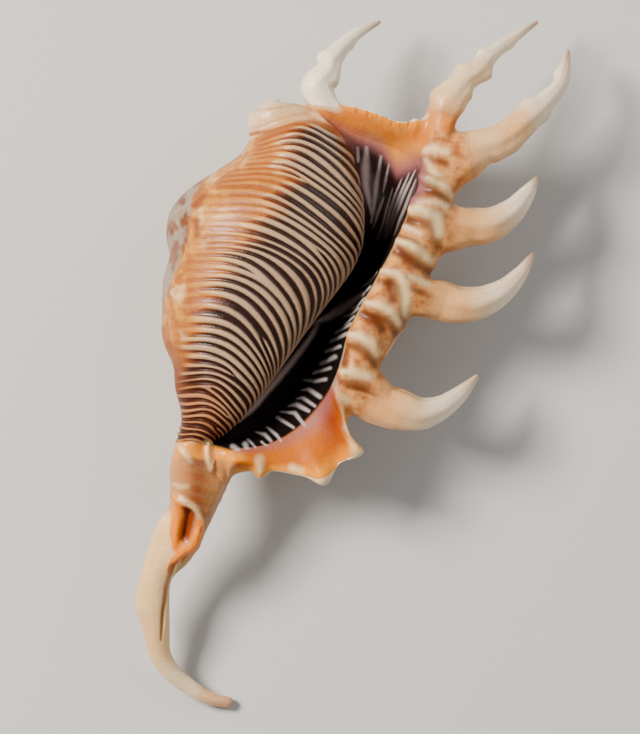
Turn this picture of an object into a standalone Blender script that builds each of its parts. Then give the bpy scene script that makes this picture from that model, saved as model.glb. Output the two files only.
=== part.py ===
import math

import bmesh
import bpy
import numpy as np

for item in list(bpy.data.objects):
    bpy.data.objects.remove(item, do_unlink=True)

# Driving sizes, all lengths in millimetres until the mesh is written in metres
MM = 0.001
LEAN = math.radians(13.0)
REST_LEVEL = -26.0

# Bow of the ridges towards the spire: full and least, and the stations between which it falls
ARCH_FULL = 3.0
ARCH_LEAST = 0.9
ARCH_FALL = (12.0, 17.0)

# Ridges across the whorl: height, first and last station, guide lines they fade in and out over,
# and how many have been passed at each station
LIRA_HEIGHT = 0.75
LIRA_START = 3.3
LIRA_END = 16.9
LIRA_FADE_IN = (6.9, 7.7)
LIRA_FADE_OUT = (10.9, 11.6)
LIRA_STATIONS = (3.3, 5.0, 6.0, 7.0, 9.0, 11.0, 13.0, 15.0, 16.9)
LIRA_NUMBERS = (0.0, 6.4, 9.4, 12.4, 18.2, 24.1, 29.7, 35.9, 41.4)

# How far the rows sweep down the right side: stations and sweep, the guide lines over which
# the sweep grows, its limit and power, and the guide lines over which it ends
SWEEP_STATIONS = (2.4, 3.3, 4.2, 6.0, 9.0, 11.0, 12.0, 14.0, 16.0, 17.3)
SWEEP = (0.0, 0.8, 1.7, 2.3, 2.3, 1.7, 1.25, 0.8, 0.3, 0.0)
SWEEP_FROM = 7.5
SWEEP_WIDTH = 2.5
SWEEP_LIMIT = 1.15
SWEEP_POWER = 1.6
SWEEP_END = (10.9, 13.4)

# Folds of the lip band: height, number to a station, guide line, reach, stations
FOLD_HEIGHT = 0.9
FOLD_COUNT = 1.75
FOLD_LINE = 14.9
FOLD_REACH = 0.75
FOLD_IN = (7.6, 8.4)
FOLD_OUT = (12.6, 13.2)

# Ribs that lead into the fingers: rise on the back and the front, reach along the shell
RIB_BACK = 1.5
RIB_FRONT = 0.9
RIB_REACH = 0.42

# Groove between the whorls of the spire: depth, turns to a station, half width
GROOVE_DEPTH = 0.5
GROOVE_TURNS = 1.1
GROOVE_REACH = 0.16

# Open trough at the top of the canal: station, guide line, depth, reach along and around
TROUGH = (20.75, 8.8, 3.0, 1.1, 0.9)

# Finger roots: columns taken from the lip edge, path length over which the root blends in,
# reach of a nodule, and the sizes that even out the root before its angles are read
ROOT_FROM = 15.2
ROOT_TO = 1.05
ROOT_BLEND = 1.4
NODULE_REACH = 0.28
ROOT_SIZE = (6.0, 4.0)

AXIS = np.array([math.sin(LEAN), math.cos(LEAN)])
ACROSS = np.array([math.cos(LEAN), -math.sin(LEAN)])

# Spire rings: centre x, y, z, half width, half depth
SPIRE = [
    (-18.6, 63.7, 0.5, 1.4, 1.2),
    (-19.1, 62.0, 0.3, 5.6, 5.0),
    (-17.8, 58.9, -0.7, 8.2, 6.6),
]

# Whorl and lip stations from the spire to the canal:
# left side x, y; right side of the whorl x, y; inner lip x, y; outer edge x, y;
# heights of whorl top, back, inner lip, outer edge, aperture floor; edge thickness
BODY = [
    (-24.8, 54.4, -5.0, 57.2, -7.5, 60.0, -11.0, 63.0, 7.5, -9.0, 3.0, 2.5, 3.0, 4.5),
    (-27.5, 50.4, -0.4, 50.0, -2.0, 57.0, -3.5, 63.0, 11.0, -14.0, -0.2, 3.4, -0.8, 2.6),
    (-34.0, 46.2, 1.7, 42.5, 5.0, 54.6, 5.0, 60.7, 14.0, -18.0, -1.8, 4.4, -4.4, 2.4),
    (-40.2, 42.0, 2.4, 36.0, 11.2, 52.6, 12.0, 58.2, 16.5, -21.0, -1.6, 5.4, -7.0, 2.4),
    (-44.2, 37.0, 2.1, 29.5, 15.9, 49.6, 18.6, 59.6, 18.0, -22.0, 2.4, 6.4, -9.0, 3.2),
    (-45.1, 31.0, 0.4, 24.7, 15.9, 44.8, 25.2, 58.2, 18.5, -22.0, 8.5, 6.0, -10.0, 4.0),
    (-44.2, 26.5, -3.0, 19.6, 13.7, 37.8, 24.1, 40.8, 18.5, -21.5, 10.5, 7.0, -10.5, 4.5),
    (-45.8, 21.0, -7.6, 13.5, 9.3, 27.7, 20.0, 25.0, 18.0, -20.5, 11.5, 8.0, -10.5, 5.0),
    (-46.0, 13.5, -13.0, 6.2, 3.8, 17.5, 13.0, 11.2, 17.0, -19.0, 11.5, 8.0, -10.0, 5.0),
    (-46.0, 6.5, -17.6, -0.5, -1.0, 8.5, 7.0, 0.8, 15.5, -17.0, 10.5, 7.5, -9.0, 5.0),
    (-43.2, 0.0, -21.0, -5.2, -3.6, -1.5, -1.8, -12.8, 13.5, -15.0, 8.5, 6.0, -8.0, 4.5),
    (-42.8, -5.5, -24.6, -10.0, -7.5, -8.5, 0.9, -20.6, 11.5, -13.5, 3.0, 6.0, -6.5, 3.0),
    (-41.3, -10.5, -28.2, -13.7, -13.5, -15.0, -7.8, -26.6, 9.5, -12.0, 1.5, 5.0, -5.0, 3.0),
    (-41.4, -15.0, -31.6, -16.6, -21.0, -19.0, -18.6, -25.0, 8.0, -10.5, 3.0, 4.0, -2.5, 3.0),
    (-43.0, -19.5, -35.6, -19.2, -30.0, -20.6, -27.4, -25.6, 7.0, -9.0, 6.5, 3.0, 4.5, 4.5),
]

# Canal rings from the aperture to the tip: centre x, y, z, half width, half depth
CANAL = [
    (-36.9, -26.6, -1.0, 7.3, 6.8),
    (-37.8, -31.0, -2.0, 6.2, 5.8),
    (-39.2, -35.6, -3.5, 5.3, 5.0),
    (-41.8, -40.2, -5.2, 5.8, 4.6),
    (-44.3, -45.0, -7.0, 5.3, 4.2),
    (-47.3, -50.2, -9.0, 3.8, 3.7),
    (-48.4, -57.3, -11.5, 4.2, 3.7),
    (-47.4, -63.6, -14.2, 3.3, 3.3),
    (-46.6, -69.8, -17.2, 2.6, 2.8),
    (-43.6, -74.5, -19.8, 2.3, 2.5),
    (-38.9, -78.3, -22.0, 1.9, 2.1),
    (-34.3, -80.8, -23.6, 1.6, 1.8),
    (-29.6, -81.8, -24.6, 1.3, 1.4),
]

# Ring angles of the sixteen guide lines, from the outer edge over the back
RING = [0, -25, -50, -80, -110, -145, -180, 145, 105, 75, 50, 42, 34, 26, 18, 9]

# Fingers: root start and end on the lip, then x, y, z, half width, half depth
FINGERS = [
    (3.0, 4.0, [(-8.6, 64.0, 2.2, 3.9, 3.0), (-8.6, 67.0, 1.5, 3.9, 3.6),
                 (-6.2, 70.6, 0.0, 3.2, 3.2), (-5.0, 73.6, -1.8, 2.7, 2.8),
                 (-2.2, 77.2, -4.5, 2.0, 2.1), (1.6, 80.4, -7.5, 1.3, 1.4),
                 (6.5, 83.0, -10.5, 0.5, 0.5)]),
    (7.05, 7.9, [(22.0, 60.3, 4.5, 3.8, 3.0), (22.9, 63.4, 4.0, 4.3, 3.6),
                 (26.5, 68.2, 2.5, 3.1, 3.2), (30.2, 71.2, 0.5, 2.9, 2.9),
                 (32.6, 74.2, -1.5, 2.1, 2.3), (36.4, 77.3, -4.5, 1.6, 1.7),
                 (40.6, 80.3, -8.0, 1.1, 1.2), (44.5, 83.0, -11.5, 0.5, 0.5)]),
    (8.1, 8.9, [(26.0, 50.3, 4.5, 7.2, 4.0), (30.2, 52.2, 4.5, 4.6, 4.2),
                (35.8, 54.4, 3.5, 3.9, 3.9), (41.4, 59.0, 1.5, 3.6, 3.6),
                (45.6, 62.9, -1.0, 2.7, 2.9), (49.6, 67.3, -4.5, 1.9, 2.1),
                (50.9, 71.4, -8.0, 1.6, 1.6), (51.9, 76.0, -11.5, 0.6, 0.6)]),
    (9.1, 9.9, [(23.5, 34.4, 4.5, 5.9, 4.4), (27.2, 33.4, 4.5, 4.6, 4.4),
                (33.0, 34.0, 3.5, 4.1, 4.1), (38.3, 37.2, 1.0, 3.1, 3.2),
                (41.8, 41.4, -2.5, 2.0, 2.1), (44.3, 45.2, -6.0, 0.6, 0.6)]),
    (10.25, 10.9, [(17.6, 16.5, 5.0, 5.2, 4.4), (20.6, 15.9, 5.0, 4.8, 4.4),
                   (25.4, 14.7, 4.5, 4.4, 4.3), (31.0, 15.4, 3.0, 3.8, 3.9),
                   (36.2, 18.2, 0.5, 2.8, 2.9), (40.2, 22.2, -3.0, 1.8, 1.9),
                   (43.4, 27.0, -6.5, 0.6, 0.6)]),
    (12.1, 12.9, [(3.4, -7.4, 3.5, 6.2, 4.2), (6.6, -8.8, 3.5, 5.2, 4.4),
                  (11.2, -10.4, 3.0, 4.9, 4.3), (16.2, -11.4, 1.5, 4.0, 3.9),
                  (21.2, -9.9, -0.5, 2.9, 3.1), (25.6, -6.8, -3.5, 2.0, 2.1),
                  (30.0, -2.5, -7.0, 0.6, 0.6)]),
]

# Nodules on the first three fingers: path number, side (1 right, -1 left), height
NODULES = [
    [(0.7, -1, 0.5), (1.8, 1, 0.5), (2.9, -1, 0.7), (4.2, 1, 0.3)],
    [(0.9, -1, 0.7), (1.7, 1, 0.5), (2.3, -1, 0.8), (3.1, 1, 0.6), (3.9, -1, 0.7), (5.2, 1, 0.3)],
    [(1.6, 1, 0.4), (2.2, 1, 0.4), (3.5, -1, 0.8), (3.7, 1, 0.5), (5.6, -1, 0.5)],
    [],
    [],
    [],
]

# Knobs on the back: station, guide line, height, reach along, reach around
KNOBS = [
    (8.0, 2.95, 8.0, 0.85, 0.34),
    (7.4, 3.75, 3.6, 0.70, 0.28),
    (7.2, 4.55, 8.0, 0.75, 0.30),
    (7.0, 5.35, 3.0, 0.60, 0.26),
    (10.6, 2.95, 3.2, 0.60, 0.28),
    (10.2, 3.75, 3.0, 0.55, 0.26),
    (10.0, 4.55, 2.6, 0.50, 0.26),
    (13.0, 3.35, 2.2, 0.50, 0.28),
    (12.8, 4.15, 2.2, 0.50, 0.26),
]

# Teeth on the front edge, the rim and the sheet, given the same way
TEETH = [
    (6.52, 16.0, 1.3, 0.13, 0.8),
    (6.52, 0.0, 1.3, 0.13, 0.8),
    (13.95, 16.0, 2.2, 0.18, 0.8),
    (14.95, 16.0, 2.6, 0.22, 0.8),
    (16.35, 16.0, 2.2, 0.17, 0.8),
    (13.95, 0.0, 2.2, 0.18, 0.8),
    (14.95, 0.0, 2.6, 0.22, 0.8),
    (16.35, 0.0, 2.2, 0.17, 0.8),
    (17.15, 7.6, 1.6, 0.22, 0.35),
    (17.1, 9.6, 1.9, 0.22, 0.35),
]


def step(low, high, value):
    x = np.clip((value - low) / (high - low), 0.0, 1.0)
    return x * x * (3.0 - 2.0 * x)


def curve(points, where):
    # smooth curve through equally numbered points, read at the given numbers
    points = np.asarray(points, dtype=float)
    where = np.clip(np.asarray(where, dtype=float), 0.0, len(points) - 1.000001)
    base = np.floor(where).astype(int)
    f = (where - base).reshape((-1,) + (1,) * (points.ndim - 1))
    last = len(points) - 1
    a = points[np.clip(base - 1, 0, last)]
    b = points[base]
    c = points[np.clip(base + 1, 0, last)]
    d = points[np.clip(base + 2, 0, last)]
    return b + 0.5 * f * (c - a + f * (2 * a - 5 * b + 4 * c - d + f * (3 * (b - c) + d - a)))


def rings(rows):
    # upright rings square to the line through their centres
    centres = np.array([row[:2] for row in rows])
    run = np.gradient(centres, axis=0)
    run /= np.linalg.norm(run, axis=1)[:, None]
    found = []
    for row, way in zip(rows, run):
        side = np.array([-way[1], way[0]])
        ring = []
        for angle in np.radians(RING):
            flat = np.array(row[:2]) + side * row[3] * math.cos(angle)
            ring.append([flat[0], flat[1], row[2] + row[4] * math.sin(angle)])
        found.append(ring)
    return found


def section(row, arch):
    # sixteen points round one station of the whorl and lip
    left, right = np.array(row[0:2]), np.array(row[2:4])
    inner, outer = np.array(row[4:6]), np.array(row[6:8])
    top, low, lip, edge, floor, thick = row[8:14]
    back = (left + right) / 2 - AXIS * 1.0
    crown = (left + right) / 2 + AXIS * arch
    bed = right + (inner - right) * 0.42
    under = edge - thick
    crest = lip + thick * 0.22 if lip >= edge else lip + (edge - lip) * 0.62
    rise = 0.42 if lip >= edge else 0.68
    flats = [
        (outer, edge - thick * 0.35),
        (outer + (back - outer) * 0.05, under - thick * 0.25),
        (outer + (back - outer) * 0.29, under + (low - under) * 0.60),
        (outer + (back - outer) * 0.62, under + (low - under) * 0.94),
        (back, low),
        (back + (left - back) * 0.70, low * 0.74),
        (left, -1.0),
        (left + (crown - left) * 0.30, top * 0.70),
        (crown, top),
        (crown + (right - crown) * 0.68, top * 0.82),
        (right, top * 0.35),
        (right - ACROSS * 2.0, top * 0.35 + (floor - top * 0.35) * 0.6),
        (bed, floor),
        (bed + (inner - bed) * 0.80, floor + (lip - floor) * rise),
        (inner, lip),
        (inner + (outer - inner) * 0.55, crest),
    ]
    return [[flat[0], flat[1], height] for flat, height in flats]


def guides():
    # the guide points of every station from the spire to the tip of the canal
    middle = []
    for number, row in enumerate(BODY, len(SPIRE)):
        fall = float(step(*ARCH_FALL, number))
        middle.append(section(row, ARCH_FULL + (ARCH_LEAST - ARCH_FULL) * fall))
    return np.array(rings(SPIRE) + middle + rings(CANAL))


def lira(t):
    # number of ridges passed by station t
    return np.interp(t, LIRA_STATIONS, LIRA_NUMBERS)


def station(count):
    # station at which that many ridges are passed
    return np.interp(count, LIRA_NUMBERS, LIRA_STATIONS)


def swept(t, u):
    # station that each row reaches on each guide line
    grow = np.clip((u - SWEEP_FROM) / SWEEP_WIDTH, 0.0, SWEEP_LIMIT) ** SWEEP_POWER
    bend = grow * (1 - step(*SWEEP_END, u))
    return t[:, None] + np.interp(t, SWEEP_STATIONS, SWEEP)[:, None] * bend[None, :]


def surface(reached, u):
    # points of the plain shell at the reached stations of every guide position u
    net = guides()
    wrapped = np.concatenate([net[:, -2:], net, net[:, :3]], axis=1)
    lines = np.moveaxis(curve(np.moveaxis(wrapped, 1, 0), u + 2.0), 0, 1)
    return np.stack([curve(lines[:, j], reached[:, j]) for j in range(len(u))], axis=1)


def normals(points):
    around = np.roll(points, -1, axis=1) - np.roll(points, 1, axis=1)
    along = np.gradient(points, axis=0)
    n = np.cross(along, around)
    return n / np.maximum(np.linalg.norm(n, axis=2), 1e-9)[:, :, None]


def bump(t, u, spot):
    # a rounded rise: station, guide line, height, reach along, reach around
    at, line, height, along, around = spot
    return height * np.exp(-((t - at) / along) ** 2 - ((u - line) / around) ** 2)


def relief(rows, t, u):
    # height added to the plain shell: rows are the unswept stations, t the reached ones
    rows = rows[:, None]
    u = u[None, :]
    zone = step(LIRA_START, LIRA_START + 0.5, rows) * (1 - step(LIRA_END - 0.3, LIRA_END, rows))
    zone = zone * step(*LIRA_FADE_IN, u) * (1 - step(*LIRA_FADE_OUT, u))
    total = 0.5 * LIRA_HEIGHT * np.cos(2 * math.pi * lira(rows)) * zone
    for spot in KNOBS + TEETH:
        total = total + bump(t, u, spot)
    folds = step(*FOLD_IN, t) * (1 - step(*FOLD_OUT, t)) * np.exp(-((u - FOLD_LINE) / FOLD_REACH) ** 2)
    total = total + FOLD_HEIGHT * folds * np.cos(2 * math.pi * t * FOLD_COUNT)
    for root, end, path in FINGERS:
        rib = np.exp(-((t - (root + end) / 2) / RIB_REACH) ** 2)
        total = total + RIB_BACK * rib * step(0.0, 0.6, u) * (1 - step(1.4, 2.6, u))
        total = total + RIB_FRONT * rib * step(14.7, 15.3, u) * (1 - step(15.5, 16.0, u))
    turns = np.mod(GROOVE_TURNS * t + np.interp(u, [0.0, 6.0, 10.0, 16.0], [1.0, 0.5, 0.15, 0.0]), 1.0)
    whorls = step(0.2, 0.7, t) * (1 - step(2.2, 2.9, t)) * (1 - step(5.5, 7.0, u))
    total = total - GROOVE_DEPTH * whorls * np.exp(-((turns - 0.5) / GROOVE_REACH) ** 2)
    at, line, depth, along, around = TROUGH
    far = ((t - at) / along) ** 2 + ((u - line) / around) ** 2
    return total - depth * np.exp(-far ** 1.5)


def grid(t, u):
    reached = swept(t, u)
    points = surface(reached, u)
    points = points + normals(points) * relief(t, reached, u)[:, :, None]
    points[:, :, 2] = np.maximum(points[:, :, 2], REST_LEVEL)
    return points


def finger(bm, verts, t, u, root, end, path, bumps, rings_count):
    # swaps a patch of the outer edge for a tapering finger
    rows = [i for i in range(len(t)) if root <= t[i] <= end]
    cols = [j for j in range(len(u)) if u[j] >= ROOT_FROM] + [j for j in range(len(u)) if u[j] <= ROOT_TO]
    loop = [verts[rows[0]][j] for j in cols]
    loop += [verts[i][cols[-1]] for i in rows[1:]]
    loop += [verts[rows[-1]][j] for j in reversed(cols[:-1])]
    loop += [verts[i][cols[0]] for i in reversed(rows[1:-1])]
    inside = set(loop)
    for i in rows:
        for j in cols:
            inside.add(verts[i][j])
    patch = [f for f in bm.faces if all(v in inside for v in f.verts)]
    bmesh.ops.delete(bm, geom=patch, context='FACES')
    count = len(loop)
    start = np.array([v.co for v in loop])
    middle = start.mean(axis=0)
    path = np.array(path)
    path[0, :3] = middle
    last = len(path) - 1
    spots = np.linspace(0.0, 1.0, rings_count + 1)[1:] ** 1.1 * last
    centre = curve(path[:, :3], spots)
    ahead = curve(path[:, :3], np.minimum(spots + 0.05, last)) - curve(path[:, :3], spots - 0.05)
    ahead /= np.linalg.norm(ahead, axis=1)[:, None]
    size = curve(path[:, 3:], spots)
    first = path[1, :3] - path[0, :3]
    first /= np.linalg.norm(first)
    up = np.array([0.0, 0.0, 1.0])
    side0 = np.cross(first, up)
    side0 /= np.linalg.norm(side0)
    lift0 = np.cross(side0, first)
    wide, deep = ROOT_SIZE
    seen = np.arctan2((start - middle) @ lift0 / deep, (start - middle) @ side0 / wide)
    turning = np.sign(np.sum(np.sin(np.roll(seen, -1) - seen)))
    even = turning * 2 * math.pi * np.arange(count) / count
    shift = math.atan2(np.sum(np.sin(seen - even)), np.sum(np.cos(seen - even)))
    angles = even + shift
    before = loop
    for n in range(rings_count):
        side = np.cross(ahead[n], up)
        side /= np.linalg.norm(side)
        lift = np.cross(side, ahead[n])
        hold = max(0.0, 1.0 - spots[n] / ROOT_BLEND) ** 2
        ring = []
        for k in range(count):
            swell = 0.0
            for spot, hand, height in bumps:
                reach = math.exp(-((spots[n] - spot) / NODULE_REACH) ** 2)
                swell += height * reach * max(0.0, hand * math.cos(angles[k])) ** 2
            offset = side * (size[n, 0] + swell) * math.cos(angles[k])
            offset = offset + lift * (size[n, 1] + swell) * math.sin(angles[k])
            place = centre[n] + offset * (1 - hold) + (start[k] - middle) * hold
            ring.append(bm.verts.new(place))
        for k in range(count):
            bm.faces.new((before[k], before[(k + 1) % count], ring[(k + 1) % count], ring[k]))
        before = ring
    tip = bm.verts.new(centre[-1] + ahead[-1] * size[-1, 0] * 0.6)
    for k in range(count):
        bm.faces.new((before[k], before[(k + 1) % count], tip))


def shell(t, u, rings_count):
    points = grid(t, u)
    bm = bmesh.new()
    verts = [[bm.verts.new(point) for point in row] for row in points]
    width = len(u)
    for i in range(len(t) - 1):
        for j in range(width):
            k = (j + 1) % width
            bm.faces.new((verts[i][j], verts[i][k], verts[i + 1][k], verts[i + 1][j]))
    for row, way in ((0, AXIS * 0.5), (-1, np.array([0.9, -0.2]))):
        centre = points[row].mean(axis=0) + np.array([way[0], way[1], 0.0])
        cap = bm.verts.new(centre)
        for j in range(width):
            bm.faces.new((verts[row][j], verts[row][(j + 1) % width], cap))
    for (root, end, path), bumps in zip(FINGERS, NODULES):
        finger(bm, verts, t, u, root, end, path, bumps, rings_count)
    loose = [v for v in bm.verts if not v.link_faces]
    bmesh.ops.delete(bm, geom=loose, context='VERTS')
    bmesh.ops.recalc_face_normals(bm, faces=bm.faces)
    return bm


stations = np.concatenate([
    [0.0, 0.35, 0.8, 1.3, 1.8, 2.3, 2.8],
    station(np.arange(0.0, lira(np.array(LIRA_END)), 0.5)),
    [17.3, 17.8, 18.4, 19.0, 19.6, 20.2, 20.8, 21.4, 22.0, 22.7, 23.4, 24.1, 24.9, 25.7, 26.5,
     27.3, 28.1, 29.0, 30.0],
])
lines = np.array([0.0, 0.5, 1.0, 1.6, 2.2, 2.6, 2.95, 3.35, 3.75, 4.15, 4.55, 4.95, 5.35, 5.75, 6.2,
                  6.7, 7.3, 7.8, 8.3, 8.8, 9.3, 9.7, 10.0, 10.6, 11.2, 12.0, 12.8, 13.4, 14.0, 14.4,
                  14.8, 15.2, 15.6])
bm = shell(stations, lines, 11)
bmesh.ops.triangulate(bm, faces=bm.faces)

low = np.array([v.co for v in bm.verts]).min(axis=0)
high = np.array([v.co for v in bm.verts]).max(axis=0)
middle = (low + high) / 2
for v in bm.verts:
    v.co = ((v.co.x - middle[0]) * MM, (v.co.y - middle[1]) * MM, (v.co.z - low[2]) * MM)
bmesh.ops.recalc_face_normals(bm, faces=bm.faces)

mesh = bpy.data.meshes.new('spider_conch_shell')
bm.to_mesh(mesh)
bm.free()
shell_object = bpy.data.objects.new('spider_conch_shell', mesh)
bpy.context.scene.collection.objects.link(shell_object)

surface_material = bpy.data.materials.new('shell_wall')
surface_material.use_nodes = True
principled = surface_material.node_tree.nodes['Principled BSDF']
principled.inputs['Base Color'].default_value = (0.80, 0.62, 0.45, 1.0)
principled.inputs['Roughness'].default_value = 0.35
mesh.materials.append(surface_material)
print('triangles', len(mesh.polygons), 'size mm', np.round(high - low, 1))
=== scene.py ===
import math

import bpy
import numpy as np
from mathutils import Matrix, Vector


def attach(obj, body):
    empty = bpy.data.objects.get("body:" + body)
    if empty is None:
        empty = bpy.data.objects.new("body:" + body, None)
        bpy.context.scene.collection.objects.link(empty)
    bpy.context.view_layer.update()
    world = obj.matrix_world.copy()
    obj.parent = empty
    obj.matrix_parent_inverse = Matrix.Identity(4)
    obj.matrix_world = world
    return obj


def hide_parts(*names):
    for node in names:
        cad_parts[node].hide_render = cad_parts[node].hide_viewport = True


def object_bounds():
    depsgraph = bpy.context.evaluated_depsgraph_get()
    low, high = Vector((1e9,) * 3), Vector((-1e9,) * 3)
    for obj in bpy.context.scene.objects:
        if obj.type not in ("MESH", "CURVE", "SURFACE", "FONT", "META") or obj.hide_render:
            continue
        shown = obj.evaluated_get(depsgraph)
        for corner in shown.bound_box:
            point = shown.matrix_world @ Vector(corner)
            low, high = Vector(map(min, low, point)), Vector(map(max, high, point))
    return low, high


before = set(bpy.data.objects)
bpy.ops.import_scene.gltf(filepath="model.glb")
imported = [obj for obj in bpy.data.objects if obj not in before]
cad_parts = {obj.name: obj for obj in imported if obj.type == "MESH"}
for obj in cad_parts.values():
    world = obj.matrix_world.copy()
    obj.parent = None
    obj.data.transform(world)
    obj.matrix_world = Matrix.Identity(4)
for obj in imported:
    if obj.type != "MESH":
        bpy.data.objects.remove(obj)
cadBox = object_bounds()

print("frame loaded")

# Shell form: all lengths in millimetres until the mesh is written in metres
shellForm = {
    "lean": 13.0,            # degrees between the coil axis and the length
    # bow of the ridges towards the spire: full, fading from and to these stations, least
    "arch": (3.0, 12.0, 17.0, 0.9),
    "restLevel": -26.0,      # underside that the knobs rest on
    "middle": (0.008, 0.197),  # taken off x and y, so the box is centred
    "lines": 16.0,           # guide lines round the shell, 0 and 16 on the outer edge
    "tipStation": 30.0,
    "rowsPerLira": 8,
    "liraStart": 3.0,
    "liraEnd": 16.9,
    "spireRows": 30,
    "canalRows": 92,
    # ridges passed by each station, and how far each row sweeps down at the right
    "liraStations": (3.0, 5.0, 6.0, 7.0, 9.0, 11.0, 13.0, 15.0, 16.9),
    "liraNumbers": (0.0, 7.4, 10.4, 13.4, 19.2, 25.1, 30.7, 36.9, 42.4),
    "sweepStations": (2.4, 3.3, 4.2, 6.0, 9.0, 11.0, 12.0, 14.0, 16.0, 17.3),
    "sweep": (0.0, 0.8, 1.7, 2.3, 2.3, 1.7, 1.25, 0.8, 0.3, 0.0),
    "softening": 0.28,       # how far the guide net is rounded off
    "bedShare": 0.42,        # place of the mouth floor between the whorl and the inner lip
    "lipRise": (0.42, 0.68),  # height of the wall below the lip, with a high and with a low inner lip
    "fingerRings": 44,
    # spire rings: centre x, y, z, half width, half depth
    "spire": [
        (-18.6, 63.7, 0.5, 1.4, 1.2),
        (-19.1, 62.0, 0.3, 5.6, 5.0),
        (-17.8, 58.9, -0.7, 8.2, 6.6),
    ],
    # stations: left side, right side, inner lip and outer edge as x, y; then the
    # heights of whorl top, back, inner lip, outer edge and mouth floor; edge thickness
    "body": [
        (-24.8, 54.4, -5.0, 57.2, -7.5, 60.0, -11.0, 63.0, 7.5, -9.0, 3.0, 2.5, 3.0, 4.5),
        (-27.5, 50.4, -0.4, 50.0, -2.0, 57.0, -3.5, 63.0, 11.0, -14.0, -0.2, 3.4, -0.8, 2.6),
        (-34.0, 46.2, 1.7, 42.5, 5.0, 54.6, 5.0, 60.7, 14.0, -18.0, -1.8, 4.4, -4.4, 2.4),
        (-40.2, 42.0, 2.4, 36.0, 11.2, 52.6, 12.0, 58.2, 16.5, -21.0, -1.6, 5.4, -7.0, 2.4),
        (-44.2, 37.0, 2.1, 29.5, 15.9, 49.6, 18.6, 59.6, 18.0, -22.0, 2.4, 6.4, -9.0, 3.2),
        (-45.1, 31.0, 0.4, 24.7, 15.9, 44.8, 25.2, 58.2, 18.5, -22.0, 8.5, 6.0, -10.0, 4.0),
        (-44.2, 26.5, -3.0, 19.6, 13.7, 37.8, 24.1, 40.8, 18.5, -21.5, 10.5, 7.0, -10.5, 4.5),
        (-45.8, 21.0, -7.6, 13.5, 9.3, 27.7, 20.0, 25.0, 18.0, -20.5, 11.5, 8.0, -10.5, 5.0),
        (-46.0, 13.5, -13.0, 6.2, 3.8, 17.5, 13.0, 11.2, 17.0, -19.0, 11.5, 8.0, -10.0, 5.0),
        (-46.0, 6.5, -17.6, -0.5, -1.0, 8.5, 7.0, 0.8, 15.5, -17.0, 10.5, 7.5, -9.0, 5.0),
        (-43.2, 0.0, -21.0, -5.2, -3.6, -1.5, -1.8, -12.8, 13.5, -15.0, 8.5, 6.0, -8.0, 4.5),
        (-42.8, -5.5, -24.6, -10.0, -7.5, -8.5, 0.9, -20.6, 11.5, -13.5, 3.0, 6.0, -6.5, 3.0),
        (-41.3, -10.5, -28.2, -13.7, -13.5, -15.0, -7.8, -26.6, 9.5, -12.0, 1.5, 5.0, -5.0, 3.0),
        (-41.4, -15.0, -31.6, -16.6, -21.0, -19.0, -18.6, -25.0, 8.0, -10.5, 3.0, 4.0, -2.5, 3.0),
        (-43.0, -19.5, -35.6, -19.2, -30.0, -20.6, -27.4, -25.6, 7.0, -9.0, 6.5, 3.0, 4.5, 4.5),
    ],
    # canal rings down to the tip: centre x, y, z, half width, half depth
    "canal": [
        (-36.9, -26.6, -1.0, 7.3, 6.8),
        (-37.8, -31.0, -2.0, 6.2, 5.8),
        (-39.2, -35.6, -3.5, 5.3, 5.0),
        (-41.8, -40.2, -5.2, 5.8, 4.6),
        (-44.3, -45.0, -7.0, 5.3, 4.2),
        (-47.3, -50.2, -9.0, 3.8, 3.7),
        (-48.4, -57.3, -11.5, 4.2, 3.7),
        (-47.4, -63.6, -14.2, 3.3, 3.3),
        (-46.6, -69.8, -17.2, 2.6, 2.8),
        (-43.6, -74.5, -19.8, 2.3, 2.5),
        (-38.9, -78.3, -22.0, 1.9, 2.1),
        (-34.3, -80.8, -23.6, 1.6, 1.8),
        (-29.6, -81.8, -24.6, 1.3, 1.4),
    ],
    "ringAngles": [0, -25, -50, -80, -110, -145, -180, 145, 105, 75, 50, 42, 34, 26, 18, 9],
    # grid lines round the shell: from, to, how many
    "around": [(0.0, 1.05, 7), (1.05, 6.0, 27), (6.0, 9.0, 26), (9.0, 10.8, 24),
               (10.8, 13.8, 44), (13.8, 15.2, 18), (15.2, 16.0, 8)],
    # where a ridge splits in two: ridge number, guide line, which way
    "forks": [(7.5, 8.3, 1), (13.5, 8.9, -1), (20.5, 8.1, 1), (24.5, 8.8, -1), (30.5, 8.4, 1),
              (33.5, 7.9, -1), (35.5, 9.0, 1), (38.5, 8.8, -1)],
    # knobs on the back: station, guide line, height, reach along, reach around
    "knobs": [
        (8.0, 2.95, 8.0, 0.85, 0.34), (7.4, 3.75, 3.6, 0.70, 0.28),
        (7.2, 4.55, 8.0, 0.75, 0.30), (7.0, 5.35, 3.0, 0.60, 0.26),
        (10.6, 2.95, 3.2, 0.60, 0.28), (10.2, 3.75, 3.0, 0.55, 0.26),
        (10.0, 4.55, 2.6, 0.50, 0.26), (13.0, 3.35, 2.2, 0.50, 0.28),
        (12.8, 4.15, 2.2, 0.50, 0.26),
    ],
    # teeth on the front edge and rim: station, height, reach along
    "teeth": [
        (13.95, 2.2, 0.18), (14.95, 2.6, 0.22), (16.35, 2.2, 0.17),
        (14.45, -1.5, 0.2), (6.52, 1.3, 0.13), (5.9, 0.5, 0.08),
    ],
    "toothWidth": 0.8,
    # fingers leave the edge between these lines, and their roots are evened out
    "rootLines": (15.2, 1.05),
    "rootFade": (0.5, 3.6),
    "rootDepth": 12.0,
    "rootShare": 0.7,
    "rootRounds": 40,
    # middle of the first and last ring, moved into the ring
    "poleShift": ((0.11, 0.49), (0.9, -0.2)),
}

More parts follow.
